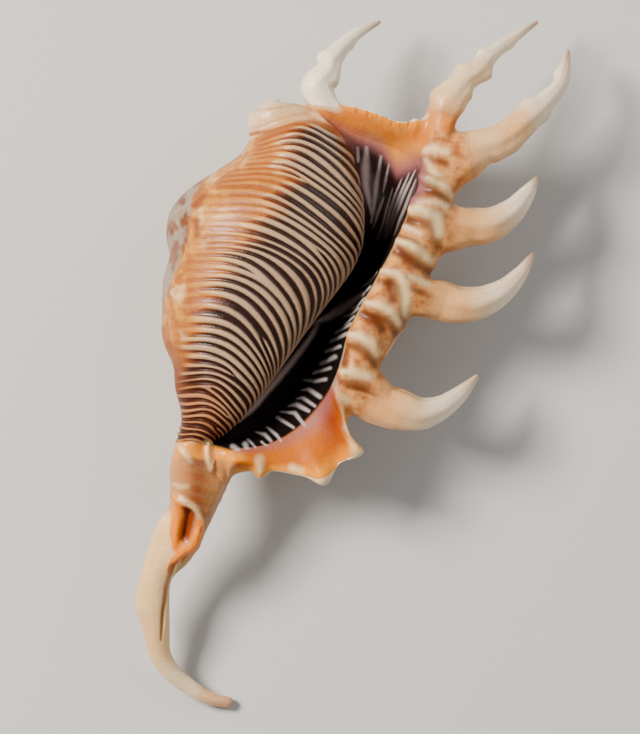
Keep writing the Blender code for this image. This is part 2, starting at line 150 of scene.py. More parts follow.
# Fingers: root on the lip, then x, y, z, half width, half depth; nodules as path
# number, side (1 right, -1 left), height
fingerForm = [
    {"root": (3.0, 4.0), "path": [
        (-8.6, 64.0, 2.2, 3.9, 3.0), (-8.6, 67.0, 1.5, 3.9, 3.6), (-6.2, 70.6, 0.0, 3.2, 3.2),
        (-5.0, 73.6, -1.8, 2.7, 2.8), (-2.2, 77.2, -4.5, 2.0, 2.1), (1.6, 80.4, -7.5, 1.3, 1.4),
        (6.5, 83.0, -10.5, 0.5, 0.5)],
     "nodules": [(0.7, -1, 0.5), (1.8, 1, 0.5), (2.9, -1, 0.7), (4.2, 1, 0.3)]},
    {"root": (7.05, 7.9), "path": [
        (22.0, 60.3, 4.5, 3.8, 3.0), (22.9, 63.4, 4.0, 4.3, 3.6), (26.5, 68.2, 2.5, 3.1, 3.2),
        (30.2, 71.2, 0.5, 2.9, 2.9), (32.6, 74.2, -1.5, 2.1, 2.3), (36.4, 77.3, -4.5, 1.6, 1.7),
        (40.6, 80.3, -8.0, 1.1, 1.2), (44.5, 83.0, -11.5, 0.5, 0.5)],
     "nodules": [(0.9, -1, 0.7), (1.7, 1, 0.5), (2.3, -1, 0.8), (3.1, 1, 0.6), (3.9, -1, 0.7),
                 (5.2, 1, 0.3)]},
    {"root": (8.1, 8.9), "path": [
        (26.0, 50.3, 4.5, 7.2, 4.0), (30.2, 52.2, 4.5, 4.6, 4.2), (35.8, 54.4, 3.5, 3.9, 3.9),
        (41.4, 59.0, 1.5, 3.6, 3.6), (45.6, 62.9, -1.0, 2.7, 2.9), (49.6, 67.3, -4.5, 1.9, 2.1),
        (50.9, 71.4, -8.0, 1.6, 1.6), (51.9, 76.0, -11.5, 0.6, 0.6)],
     "nodules": [(1.6, 1, 0.4), (2.2, 1, 0.4), (3.5, -1, 0.8), (3.7, 1, 0.5), (5.6, -1, 0.5)]},
    {"root": (9.1, 9.9), "path": [
        (23.5, 34.4, 4.5, 5.9, 4.4), (27.2, 33.4, 4.5, 4.6, 4.4), (33.0, 34.0, 3.5, 4.1, 4.1),
        (38.3, 37.2, 1.0, 3.1, 3.2), (41.8, 41.4, -2.5, 2.0, 2.1), (44.3, 45.2, -6.0, 0.6, 0.6)],
     "nodules": []},
    {"root": (10.25, 10.9), "path": [
        (17.6, 16.5, 5.0, 5.2, 4.4), (20.6, 15.9, 5.0, 4.8, 4.4), (25.4, 14.7, 4.5, 4.4, 4.3),
        (31.0, 15.4, 3.0, 3.8, 3.9), (36.2, 18.2, 0.5, 2.8, 2.9), (40.2, 22.2, -3.0, 1.8, 1.9),
        (43.4, 27.0, -6.5, 0.6, 0.6)],
     "nodules": []},
    {"root": (12.1, 12.9), "path": [
        (3.4, -7.4, 3.5, 6.2, 4.2), (6.6, -8.8, 3.5, 5.2, 4.4), (11.2, -10.4, 3.0, 4.9, 4.3),
        (16.2, -11.4, 1.5, 4.0, 3.9), (21.2, -9.9, -0.5, 2.9, 3.1), (25.6, -6.8, -3.5, 2.0, 2.1),
        (30.0, -2.5, -7.0, 0.6, 0.6)],
     "nodules": []},
]

# Folds of the lip band and rim: height, then the crest as x, y, half width
lipFolds = [
    (0.9, [(16.2, 51.5, 0.8), (19.0, 52.0, 1.1), (22.5, 51.0, 0.8)]),
    (0.8, [(17.3, 49.2, 0.7), (18.6, 47.0, 0.9), (20.6, 45.4, 0.7)]),
    (1.2, [(15.6, 44.9, 0.6), (19.0, 44.2, 0.9), (22.0, 43.0, 0.9), (23.6, 40.6, 0.7)]),
    (1.0, [(14.9, 39.6, 0.6), (18.7, 39.2, 0.8), (22.5, 38.2, 0.9)]),
    (1.5, [(13.0, 37.2, 0.9), (16.3, 37.1, 1.3), (20.0, 35.8, 1.5), (20.6, 31.5, 1.2)]),
    (0.7, [(11.6, 33.6, 0.5), (14.0, 32.6, 0.7), (16.0, 31.5, 0.6)]),
    (1.5, [(10.2, 29.8, 0.7), (13.4, 28.9, 1.0), (16.3, 27.2, 1.2), (18.6, 25.0, 1.1)]),
    (1.4, [(7.0, 22.6, 0.7), (10.5, 22.0, 1.0), (12.3, 20.0, 1.2), (12.7, 16.5, 1.2), (12.4, 12.3, 0.9)]),
    (1.1, [(13.5, 21.3, 0.7), (16.5, 20.2, 0.9), (19.5, 19.0, 0.8)]),
    (1.3, [(3.2, 15.0, 0.7), (6.5, 14.4, 1.1), (9.4, 12.9, 1.2), (11.0, 10.0, 0.9)]),
    (1.3, [(-0.8, 7.6, 0.7), (1.8, 7.0, 1.2), (4.4, 5.2, 1.2), (5.6, 2.8, 0.9)]),
    (0.9, [(-2.6, -1.4, 0.7), (0.6, -1.6, 1.1), (4.0, -2.6, 1.1)]),
    (-0.8, [(-1.7, 3.8, 0.5), (-2.1, 0.8, 0.7), (-1.5, -2.2, 0.5)]),
    (-1.1, [(-1.4, -5.0, 0.4), (2.4, -5.7, 0.5), (6.2, -7.4, 0.5), (10.4, -9.3, 0.3)]),
    (1.0, [(-3.0, -7.4, 1.1), (-1.6, -8.4, 1.1)]),
    (-1.0, [(11.0, 28.2, 0.7), (12.8, 25.6, 1.0), (15.4, 23.8, 0.8)]),
    (-0.9, [(12.6, 35.4, 0.7), (14.2, 34.3, 0.8)]),
    (-0.7, [(16.4, 43.0, 0.8), (19.0, 41.6, 1.0), (20.6, 40.6, 0.7)]),
    (-0.8, [(9.0, 19.6, 1.0), (9.6, 15.8, 1.0)]),
    (-0.8, [(2.4, 12.4, 0.9), (5.4, 10.6, 1.1), (7.2, 8.6, 0.8)]),
]

# The open trough of the canal, and the teeth on the ledge above it, given the same way
canalFolds = [
    (1.3, [(-43.4, -30.8, 0.5), (-40.4, -33.0, 0.7), (-38.2, -34.2, 0.8), (-36.9, -36.0, 0.8),
           (-35.6, -38.0, 0.5)]),
    (-2.4, [(-39.5, -36.0, 1.7), (-39.8, -38.4, 1.8), (-40.7, -41.2, 1.2)]),
    (0.7, [(-42.2, -33.0, 0.7), (-42.0, -37.0, 0.8), (-42.2, -42.0, 0.7)]),
    (0.8, [(-37.3, -40.0, 0.7), (-38.0, -43.2, 0.9), (-40.4, -44.4, 0.9), (-43.0, -46.6, 0.7)]),
    (-0.7, [(-42.6, -47.6, 0.4), (-44.6, -53.0, 0.45), (-45.6, -59.0, 0.4), (-46.2, -66.0, 0.25)]),
    (-1.6, [(-39.6, -47.2, 1.2), (-42.2, -48.6, 1.0)]),
]
ledgeTeeth = [
    (1.5, [(-41.5, -19.2, 0.6), (-40.4, -20.6, 0.75), (-38.8, -22.8, 0.5)]),
    (1.8, [(-34.9, -18.6, 0.8), (-34.6, -21.0, 0.9), (-34.1, -24.0, 0.6)]),
]

# Coloured lines of the ledge, the canal and the suture: x, y, half width
studyLines = {
    "ledge": [(-43.4, -21.2, 1.2), (-41.0, -19.9, 1.6), (-36.0, -20.4, 1.8), (-30.0, -21.2, 1.5),
              (-24.0, -21.8, 1.2), (-16.0, -22.8, 1.0), (-11.0, -24.6, 1.0)],
    "slot": [(-40.2, -34.2, 0.9), (-39.1, -35.8, 1.4), (-39.5, -38.6, 1.6), (-40.4, -41.6, 1.2)],
    "slotSide": [(-42.4, -31.6, 0.6), (-42.0, -36.0, 1.3), (-42.0, -40.5, 1.4), (-41.4, -43.5, 1.4)],
    "lobe": [(-36.8, -37.6, 0.7), (-37.4, -41.0, 1.4), (-38.3, -43.0, 2.0), (-40.2, -44.5, 1.0),
             (-43.0, -46.8, 0.7), (-44.2, -49.5, 0.4)],
    "seam": [(-43.4, -48.0, 0.4), (-45.0, -53.0, 0.4), (-45.8, -59.0, 0.35), (-46.3, -66.0, 0.3)],
    "suture": [(-24.5, 55.6, 0.5), (-18.0, 56.2, 0.7), (-14.0, 57.6, 0.7), (-10.0, 58.2, 0.7),
               (-6.0, 57.6, 0.6), (-3.8, 55.4, 0.3)],
}

# Pale folds across the base of the canal, given the same way
rootFolds = [
    [(-43.0, -28.4, 0.4), (-41.4, -28.9, 0.6), (-39.4, -28.8, 0.3)],
    [(-42.6, -31.2, 0.5), (-40.2, -32.6, 0.7), (-38.0, -34.2, 0.8), (-36.4, -37.4, 0.7)],
]

# Pale ends of the teeth along the flare, given the same way
rimMarks = [
    [(-22.3, -22.4, 0.9), (-22.1, -24.8, 0.8)],
    [(-14.6, -24.4, 0.8), (-12.4, -25.2, 0.7)],
    [(0.0, -17.8, 0.6), (0.6, -20.6, 0.9)],
]

# Brown blotches along the shoulder, given the same way
shoulderMarks = [
    [(-39.4, 43.2, 0.4), (-40.7, 41.2, 0.6)],
    [(-44.9, 36.4, 0.5), (-44.8, 30.7, 0.6)],
    [(-43.2, 34.4, 0.4), (-42.2, 32.7, 0.5)],
    [(-42.2, 29.4, 0.7), (-43.4, 25.4, 0.9)],
    [(-45.9, 24.0, 0.6), (-46.4, 19.6, 0.8)],
    [(-35.4, 40.6, 0.5), (-37.7, 38.3, 0.9)],
    [(-37.4, 34.4, 0.9), (-37.1, 31.4, 0.9)],
    [(-46.6, 13.0, 0.7), (-46.9, 9.0, 0.7)],
    [(-45.6, 4.0, 0.5), (-44.9, -1.0, 0.6)],
]

# Marks on the dark mouth wall: x, y, half width along each stroke
mouthMarks = {
    "parietal": [
        [(1.2, 52.4, 0.4), (1.3, 49.2, 0.4)],
        [(3.3, 52.4, 0.5), (3.1, 47.6, 1.15), (3.2, 43.4, 0.9), (4.3, 38.1, 0.45), (4.7, 36.0, 0.2)],
        [(6.8, 50.4, 0.35), (5.8, 44.2, 0.6), (5.0, 37.4, 0.5), (4.5, 34.4, 0.2)],
        [(8.7, 48.5, 0.2), (7.9, 44.6, 0.4), (7.3, 41.6, 0.2)],
        [(7.6, 40.8, 0.2), (6.2, 37.1, 0.45), (5.0, 33.2, 0.2)],
        [(9.7, 43.0, 0.15), (8.3, 38.1, 0.35), (7.3, 34.4, 0.3), (6.1, 30.4, 0.15)],
        [(11.8, 45.0, 0.15), (10.1, 40.9, 0.36), (8.9, 37.1, 0.36), (8.0, 33.4, 0.3), (7.3, 29.3, 0.15)],
        [(13.6, 46.4, 0.15), (11.8, 42.2, 0.36), (10.3, 38.5, 0.4), (9.1, 34.8, 0.34), (8.1, 30.6, 0.15)],
        [(15.0, 47.0, 0.15), (13.2, 43.2, 0.36), (11.6, 39.5, 0.42), (10.1, 35.8, 0.36), (9.0, 31.8, 0.15)],
        [(15.2, 44.8, 0.15), (13.9, 41.8, 0.3), (12.7, 38.5, 0.42), (11.2, 35.0, 0.36), (9.9, 31.4, 0.15)],
    ],
    "dashes": [
        [(5.8, 22.6, 0.15), (3.6, 19.8, 0.3), (2.0, 18.9, 0.15)],
        [(4.2, 19.0, 0.2), (2.0, 17.0, 0.3), (0.6, 16.6, 0.15)],
        [(2.8, 16.2, 0.2), (0.8, 14.2, 0.32), (-0.6, 13.6, 0.15)],
        [(1.4, 13.9, 0.2), (-0.8, 12.2, 0.34), (-2.2, 11.8, 0.15)],
        [(0.4, 12.0, 0.15), (-2.0, 9.9, 0.3)],
        [(-0.5, 10.1, 0.3), (-4.0, 8.0, 0.32)],
        [(-1.6, 7.7, 0.36), (-5.2, 5.9, 0.36)],
        [(-3.1, 4.7, 0.38), (-6.4, 3.5, 0.36)],
        [(-4.3, 2.2, 0.5), (-7.6, 0.5, 0.4)],
        [(-5.4, -0.5, 0.36), (-9.4, -1.7, 0.34)],
        [(-6.5, -3.2, 0.4), (-9.2, -3.7, 0.4), (-11.6, -3.4, 0.2)],
        [(-7.9, -7.4, 0.45), (-10.6, -5.6, 0.42), (-12.4, -5.9, 0.15)],
        [(-9.1, -9.6, 0.3), (-12.1, -7.6, 0.38), (-13.6, -7.9, 0.15)],
        [(-10.6, -10.8, 0.36), (-13.6, -9.2, 0.52), (-15.6, -9.7, 0.15)],
        [(-11.2, -14.7, 0.3), (-13.9, -11.3, 0.42), (-17.3, -11.0, 0.2)],
        [(-14.2, -14.8, 0.28), (-18.1, -12.4, 0.38)],
        [(-16.4, -19.0, 0.2), (-18.3, -16.6, 0.34), (-20.6, -14.7, 0.24)],
        [(-19.6, -18.0, 0.3), (-21.2, -16.4, 0.42), (-23.2, -15.9, 0.2)],
        [(-19.8, -19.8, 0.2), (-21.9, -18.2, 0.24)],
        [(-23.2, -19.6, 0.2), (-25.2, -17.6, 0.26)],
        [(-25.2, -20.2, 0.5), (-25.9, -18.6, 0.55)],
        [(-27.4, -20.2, 0.5), (-28.8, -19.2, 0.55)],
    ],
    "columella": [
        [(-8.2, 10.9, 0.35), (-9.7, 7.4, 0.45), (-12.1, 4.1, 0.55), (-15.1, 0.2, 0.6), (-18.1, -3.4, 0.6),
         (-20.8, -6.4, 0.55), (-23.2, -9.3, 0.6), (-25.0, -11.1, 0.5), (-27.6, -13.4, 0.3)],
        [(2.4, 17.4, 0.4), (-0.7, 15.2, 0.8), (-3.1, 13.4, 0.9), (-5.5, 11.9, 0.6), (-7.9, 11.0, 0.3)],
    ],
}

# Soft ends of the zones along the stations t, round the lines u or across x and y: where
# a zone starts to show, where it is full and, if it ends, where it fades and where it is gone
softZones = {
    # relief
    "backRib": (0.0, 0.6, 1.4, 2.6), "edgeRib": (14.7, 15.3, 15.5, 16.0),
    "grooveAlong": (0.2, 0.7, 2.2, 2.9), "grooveRound": (7.0, 5.5),
    "rimUpper": (15.2, 15.7), "rimLower": (0.6, 0.0), "rimAlong": (4.1, 4.4, 6.2, 6.8),
    "troughAlong": (17.2, 17.8, 24.5, 26.0), "troughRound": (6.2, 7.0),
    "rippleAlong": (16.9, 17.5, 19.6, 20.2), "rippleRound": (6.0, 7.0),
    "foldsRound": (13.85, 14.25), "foldsAlong": (6.6, 7.4, 13.4, 13.9),
    "ledgeAlong": (15.8, 16.6), "ledgeRound": (6.4, 7.0), "wallRound": (10.6, 11.2, 13.5, 13.9),
    # front and back of the shell
    "facingUp": (-0.25, 0.35), "leftTurn": (5.6, 6.3), "rootBack": (0.2, 0.5),
    # striped body
    "body": (2.85, 3.25, 16.75, 17.0), "startsEarlier": (12.5, 15.0), "stripesIn": (0.0, 0.6),
    "stripesOut": (11.5, 10.9), "gapsDarken": (-2.0, 8.0), "darkenFaster": (10.0, -4.0),
    "lowGlaze": (16.0, -10.0), "glazeSide": (5.4, 6.2), "glazeEnd": (11.4, 10.6),
    "lowStripes": (12.0, -8.0), "lowStripesSide": (-24.0, -36.0),
    # mouth
    # core: painted shade, where the dark wall turns near black low in the deep mouth
    "wallPaint": (10.2, 10.9, 13.9, 14.06), "darkEnd": (1.8, -1.8), "paintedDeepShade": (38.0, 26.0),
    "plumRound": (10.2, 10.9, 14.2, 14.8), "plumEnd": (7.0, 0.0),
    "flareAlong": (12.7, 13.3), "flareRound": (13.9, 14.05, 14.15, 14.7),
    "mouth": (10.6, 11.0, 14.1, 14.3), "marksFaint": (40.0, 30.0), "marksFaintLow": (20.0, 28.0),
    # sheet, flare, ledge and rims
    "sheetAlong": (2.6, 3.2, 7.0, 7.6), "sheetRound": (10.6, 11.2), "sheetSide": (-0.4, 0.4),
    "sheetRim": (14.7, 15.3), "firstFinger": (4.3, 3.7),
    "lowAlong": (12.5, 13.1, 17.0, 17.5), "lowRound": (13.6, 14.0), "flareSide": (1.4, -1.4),
    "rootTint": (0.2, 0.0), "ledgePaint": (16.3, 16.8), "ledgeSide": (6.0, 6.6),
    "rimHigh": (14.9, 15.8), "rimLow": (15.0, 15.9), "toothAlong": (15.4, 16.2), "toothRound": (6.2, 6.6),
    # lip band and shoulder
    "bandAlong": (6.6, 7.4, 12.9, 13.4), "bandRound": (13.95, 14.05), "bandFinger": (0.2, 0.02),
    "shoulderSide": (0.9, -0.6), "shoulderAlong": (3.4, 4.6, 14.5, 15.5), "shoulderRound": (4.2, 5.8),
    # canal, back, spire and tips
    "base": (16.85, 17.2, 19.9, 20.8), "trough": (18.4, 19.2, 25.5, 26.5), "seam": (21.0, 22.5),
    "cordsAlong": (4.0, 5.5, 14.0, 16.0), "cordsRound": (0.5, 1.5, 4.6, 5.4), "spire": (3.5, 2.8),
    "whorlLine": (0.2, 0.7), "canal": (20.0, 21.5, 25.0, 28.0), "paleFinger": (0.35, 0.6),
    "fingerTip": (0.78, 1.0), "canalTip": (28.0, 30.0),
}

# Borders that wander: the places read, and the border's value at each
borders = {
    # x where the ridges change colour, for each y
    "fade": ([-17, -8, 0, 7, 12, 19, 24, 28, 30, 32, 36, 39, 42, 45, 50, 53, 58],
             [-44, -43.5, -42, -40.5, -38.5, -35.8, -33.8, -31, -29, -27, -24, -22, -20, -18, -20, -18, -16]),
    # y of the dark wall's upper end, for each x
    "darkLine": ([-9, -4, 0, 4, 7, 9.5, 10.5, 13, 15.5, 18],
                 [58, 54.5, 52.6, 52.2, 50.6, 47, 45.4, 46.4, 47.4, 46]),
    # x of the sheet's left side, the flare's right side and the glaze's left side, for each y
    "sheet": ([50.0, 52.3, 56.0, 59.0, 63.2], [0.8, -1.2, -5.8, -8.9, -11.0]),
    "flare": ([-23, -19, -15, -10, -6, -3, 0], [2.5, -0.6, -2.2, -3.2, -4.6, -6.2, -7]),
    "glaze": ([-20, -8, 0, 8, 12, 16, 20, 24, 28, 31, 40, 46, 50],
              [-46.5, -44.8, -45.0, -46.2, -45.6, -45.2, -43.6, -41.8, -40.4, -39.2, -38.6, -35.4, -33]),
    # share of a turn that the spire's groove has made on each line
    "groove": ([0.0, 6.0, 10.0, 16.0], [1.0, 0.5, 0.15, 0.0]),
}

# Heights and reaches of the relief
reliefForm = {
    "ribHeight": 1.5, "ribEdge": 0.9, "ribReach": 0.42, "grooveDepth": 0.5, "grooveWidth": 0.16,
    "serration": 0.17, "foldReach": 1.1, "lipFoldReach": 2.1, "lipFoldGain": 1.1, "ripple": 0.08,
    "columella": 0.7, "nodule": 1.45, "noduleReach": 0.42, "noduleSharpness": 1.3,
    "ringCrowding": 1.1, "rootHold": 1.4, "keel": 0.05, "fineKeel": 0.025, "tipLength": 0.6,
}


def smoothStep(low, high, value):
    x = np.clip((value - low) / (high - low), 0.0, 1.0)
    return x * x * (3.0 - 2.0 * x)


def within(name, value):
    # 1 inside a named zone, fading over its soft ends
    ends = softZones[name]
    found = smoothStep(ends[0], ends[1], value)
    if len(ends) == 4:
        found = found * (1 - smoothStep(ends[2], ends[3], value))
    return found


def spireTurns(t, u):
    # share of a turn made by the groove that winds round the spire
    return np.mod(1.1 * t + np.interp(u, *borders["groove"]), 1.0)


def throughPoints(points, where):
    # smooth curve through equally numbered points, read at the given numbers
    points = np.asarray(points, dtype=float)
    where = np.clip(np.asarray(where, dtype=float), 0.0, len(points) - 1.000001)
    base = np.floor(where).astype(int)
    f = (where - base).reshape((-1,) + (1,) * (points.ndim - 1))
    last = len(points) - 1
    a = points[np.clip(base - 1, 0, last)]
    b = points[base]
    c = points[np.clip(base + 1, 0, last)]
    d = points[np.clip(base + 2, 0, last)]
    return b + 0.5 * f * (c - a + f * (2 * a - 5 * b + 4 * c - d + f * (3 * (b - c) + d - a)))


def uprightRings(rows, angles):
    # rings square to the line through their centres
    centres = np.array([row[:2] for row in rows])
    run = np.gradient(centres, axis=0)
    run /= np.linalg.norm(run, axis=1)[:, None]
    found = []
    for row, way in zip(rows, run):
        side = np.array([-way[1], way[0]])
        ring = []
        for angle in np.radians(angles):
            flat = np.array(row[:2]) + side * row[3] * math.cos(angle)
            ring.append([flat[0], flat[1], row[2] + row[4] * math.sin(angle)])
        found.append(ring)
    return found


def whorlSection(form, row, axis, across, arch):
    # sixteen points round one station, from the outer edge over the back to the lip crest
    left, right = np.array(row[0:2]), np.array(row[2:4])
    inner, outer = np.array(row[4:6]), np.array(row[6:8])
    top, low, lip, edge, floorLevel, thick = row[8:14]
    back = (left + right) / 2 - axis * 1.0
    crown = (left + right) / 2 + axis * arch
    bed = right + (inner - right) * form["bedShare"]
    under = edge - thick
    rise = form["lipRise"][0 if lip >= edge else 1]
    flats = [
        (outer, edge - thick * 0.35),
        (outer + (back - outer) * 0.05, under - thick * 0.25),
        (outer + (back - outer) * 0.29, under + (low - under) * 0.60),
        (outer + (back - outer) * 0.62, under + (low - under) * 0.94),
        (back, low),
        (back + (left - back) * 0.70, low * 0.74),
        (left, -1.0),
        (left + (crown - left) * 0.30, top * 0.70),
        (crown, top),
        (crown + (right - crown) * 0.68, top * 0.82),
        (right, top * 0.35),
        (right - across * 2.0, top * 0.35 + (floorLevel - top * 0.35) * 0.6),
        (bed, floorLevel),
        (bed + (inner - bed) * 0.80, floorLevel + (lip - floorLevel) * rise),
        (inner, lip),
        (inner + (outer - inner) * 0.55, lip + thick * 0.22 if lip >= edge else lip + (edge - lip) * 0.62),
    ]
    return [[flat[0], flat[1], height] for flat, height in flats]


def guideNet(form):
    lean = math.radians(form["lean"])
    axis = np.array([math.sin(lean), math.cos(lean)])
    across = np.array([math.cos(lean), -math.sin(lean)])
    full, start, end, least = form["arch"]
    middle = []
    for number, row in enumerate(form["body"], 3):
        share = float(smoothStep(start, end, number))
        middle.append(whorlSection(form, row, axis, across, full + (least - full) * share))
    angles = form["ringAngles"]
    return np.array(uprightRings(form["spire"], angles) + middle + uprightRings(form["canal"], angles))


def liraCount(form, t):
    # number of ridges passed by station t
    return np.interp(t, form["liraStations"], form["liraNumbers"])


def stationOfLira(form, count):
    return np.interp(count, form["liraNumbers"], form["liraStations"])


def sweptStations(form, t, u):
    # the station that each row reaches on each line: rows follow the ridges down the right side
    sweep = np.interp(t, form["sweepStations"], form["sweep"])[:, None]
    bend = (np.clip((u - 7.5) / 2.5, 0.0, 1.15) ** 1.6 * (1 - smoothStep(10.9, 13.4, u)))[None, :]
    return t[:, None] + sweep * bend


def plainSurface(net, stations, u):
    # points of the guide net at a station for every row and line
    wrapped = np.concatenate([net[:, -2:], net, net[:, :3]], axis=1)
    lines = np.moveaxis(throughPoints(np.moveaxis(wrapped, 1, 0), u + 2.0), 0, 1)
    return np.stack([throughPoints(lines[:, j], stations[:, j]) for j in range(len(u))], axis=1)


def softSurface(net, stations, u, reach):
    # the guide net read a little to each side and averaged, so its corners are rounded
    total = 0.0
    for shift, share in ((-1.0, 0.25), (0.0, 0.5), (1.0, 0.25)):
        for turn, part in ((-1.0, 0.2), (0.0, 0.6), (1.0, 0.2)):
            lines = np.mod(u + turn * reach, 16.0)
            total = total + share * part * plainSurface(net, stations + shift * reach, lines)
    return total


def gridNormals(points):
    around = np.roll(points, -1, axis=1) - np.roll(points, 1, axis=1)
    along = np.gradient(points, axis=0)
    n = np.cross(along, around)
    return n / np.maximum(np.linalg.norm(n, axis=2), 1e-9)[:, :, None]


def strokeReach(xy, stroke):
    # distance from a stroke in half widths: 0 on its line, 1 at its sides
    best = np.full(xy.shape[:-1], 9.0)
    for (ax, ay, aw), (bx, by, bw) in zip(stroke, stroke[1:]):
        start = np.array([ax, ay])
        run = np.array([bx - ax, by - ay])
        share = np.clip(((xy - start) @ run) / (run @ run), 0.0, 1.0)
        far = np.linalg.norm(xy - start - share[..., None] * run, axis=-1)
        best = np.minimum(best, far / (aw + (bw - aw) * share))
    return best


def strokeRelief(strokes, xy, reach):
    # folds or hollows along strokes that carry a height
    return sum(height * np.exp(-(strokeReach(xy, crest) / reach) ** 2) for height, crest in strokes)


def broadRelief(form, fingers, t, u, xy):
    # knobs, folds, teeth and grooves raised on the plain shell
    u = u[None, :]
    total = np.zeros(t.shape)
    for at, line, height, reach, turn in form["knobs"]:
        far = ((t - at) / reach) ** 2 + ((u - line) / turn) ** 2
        total = total + height * np.exp(-far)
    for finger in fingers:
        ridge = np.exp(-((t - sum(finger["root"]) / 2) / reliefForm["ribReach"]) ** 2)
        total = total + reliefForm["ribHeight"] * ridge * within("backRib", u)
        total = total + reliefForm["ribEdge"] * ridge * within("edgeRib", u)
    whorls = within("grooveAlong", t) * within("grooveRound", u)
    groove = np.exp(-((spireTurns(t, u) - 0.5) / reliefForm["grooveWidth"]) ** 2)
    total = total - reliefForm["grooveDepth"] * whorls * groove
    serrated = (within("rimUpper", u) + within("rimLower", u)) * within("rimAlong", t)
    total = total + reliefForm["serration"] * serrated * (np.sin(23.0 * t) + 0.8 * np.sin(41.0 * t + 1.0))
    fromEdge = np.minimum(u, form["lines"] - u) / form["toothWidth"]
    for at, height, reach in form["teeth"]:
        total = total + height * np.exp(-((t - at) / reach) ** 2 - fromEdge ** 2)
    trough = within("troughAlong", t) * within("troughRound", u)
    total = total + trough * strokeRelief(canalFolds, xy, reliefForm["foldReach"])
    base = within("rippleAlong", t) * within("rippleRound", u)
    total = total + reliefForm["ripple"] * base * np.sin(2 * math.pi * (t * 1.9 + 0.08 * u))
    lipZone = within("foldsRound", u) * within("foldsAlong", t) * reliefForm["lipFoldGain"]
    total = total + lipZone * strokeRelief(lipFolds, xy, reliefForm["lipFoldReach"])
    ledge = within("ledgeAlong", t) * within("ledgeRound", u)
    total = total + ledge * strokeRelief(ledgeTeeth, xy, reliefForm["foldReach"])
    raised = [(reliefForm["columella"], stroke) for stroke in mouthMarks["columella"]]
    return total + within("wallRound", u) * strokeRelief(raised, xy, reliefForm["foldReach"])


def ridgeWave(form, t, u):
    # pale ridges as a wave along the rows, with a few forks where a ridge splits
    count = liraCount(form, t)[:, None] + 0.0 * u[None, :]
    line = 0.0 * t[:, None] + u[None, :]
    phase = count + 0.12 * np.sin(1.31 * count + 1.9 * line) + 0.11 * np.sin(0.53 * count - 2.3 * line + 1.0)
    for at, where, hand in form["forks"]:
        phase = phase + hand * np.arctan2((line - where) * 2.2, count - at) / (2 * math.pi)
    width = 0.26 * np.sin(0.83 * count + 0.4 * line) + 0.2 * np.sin(2.17 * count - 0.9 * line + 2.0)
    return np.cos(2 * math.pi * phase) + width


def growFinger(start, finger, ringCount):
    # rings from a patch of the lip edge out to the tip
    count = len(start)
    middle = start.mean(axis=0)
    path = np.array(finger["path"], dtype=float)
    path[0, :3] = middle
    last = len(path) - 1
    spots = np.linspace(0.0, 1.0, ringCount + 1)[1:] ** reliefForm["ringCrowding"] * last
    centre = throughPoints(path[:, :3], spots)
    ahead = throughPoints(path[:, :3], np.minimum(spots + 0.05, last))
    ahead = ahead - throughPoints(path[:, :3], spots - 0.05)
    ahead /= np.linalg.norm(ahead, axis=1)[:, None]
    size = throughPoints(path[:, 3:], spots)
    first = path[1, :3] - path[0, :3]
    first /= np.linalg.norm(first)
    up = np.array([0.0, 0.0, 1.0])
    side = np.cross(first, up)
    side /= np.linalg.norm(side)
    lift = np.cross(side, first)
    seen = np.arctan2((start - middle) @ lift / 4.0, (start - middle) @ side / 6.0)
    turning = np.sign(np.sum(np.sin(np.roll(seen, -1) - seen)))
    even = turning * 2 * math.pi * np.arange(count) / count
    angles = even + math.atan2(np.sum(np.sin(seen - even)), np.sum(np.cos(seen - even)))
    found = []
    for n in range(ringCount):
        side = np.cross(ahead[n], up)
        side /= np.linalg.norm(side)
        lift = np.cross(side, ahead[n])
        hold = max(0.0, 1.0 - spots[n] / reliefForm["rootHold"]) ** 2
        swell = np.zeros(count)
        for spot, hand, height in finger["nodules"]:
            reach = max(0.0, 1.0 - abs(spots[n] - spot) / reliefForm["noduleReach"])
            reach = reach ** reliefForm["noduleSharpness"]
            swell += reliefForm["nodule"] * height * reach * np.maximum(0.0, hand * np.cos(angles)) ** 2
        keel = 1.0 + reliefForm["keel"] * np.cos(3 * angles + 0.8)
        keel = keel + reliefForm["fineKeel"] * np.cos(7 * angles + spots[n])
        offset = side * ((size[n, 0] * keel + swell) * np.cos(angles))[:, None]
        offset = offset + lift * ((size[n, 1] * keel + swell) * np.sin(angles))[:, None]
        found.append(centre[n] + offset * (1 - hold) + (start - middle) * hold)
    tip = centre[-1] + ahead[-1] * size[-1, 0] * reliefForm["tipLength"]
    return np.array(found), tip, spots / last


def softenRoots(points, faces, weight, rounds):
    # evens out the surface where the fingers leave the lip
    quads = np.array([list(f) if len(f) == 4 else list(f) + [f[0]] for f in faces])
    a = quads.ravel()
    b = np.roll(quads, -1, axis=1).ravel()
    size = len(points)
    links = np.bincount(a, minlength=size) + np.bincount(b, minlength=size)
    for _ in range(rounds):
        total = np.stack([np.bincount(a, points[b, k], size) + np.bincount(b, points[a, k], size)
                          for k in range(3)], axis=1)
        points = points + (total / np.maximum(links, 1)[:, None] - points) * weight[:, None]
    return points


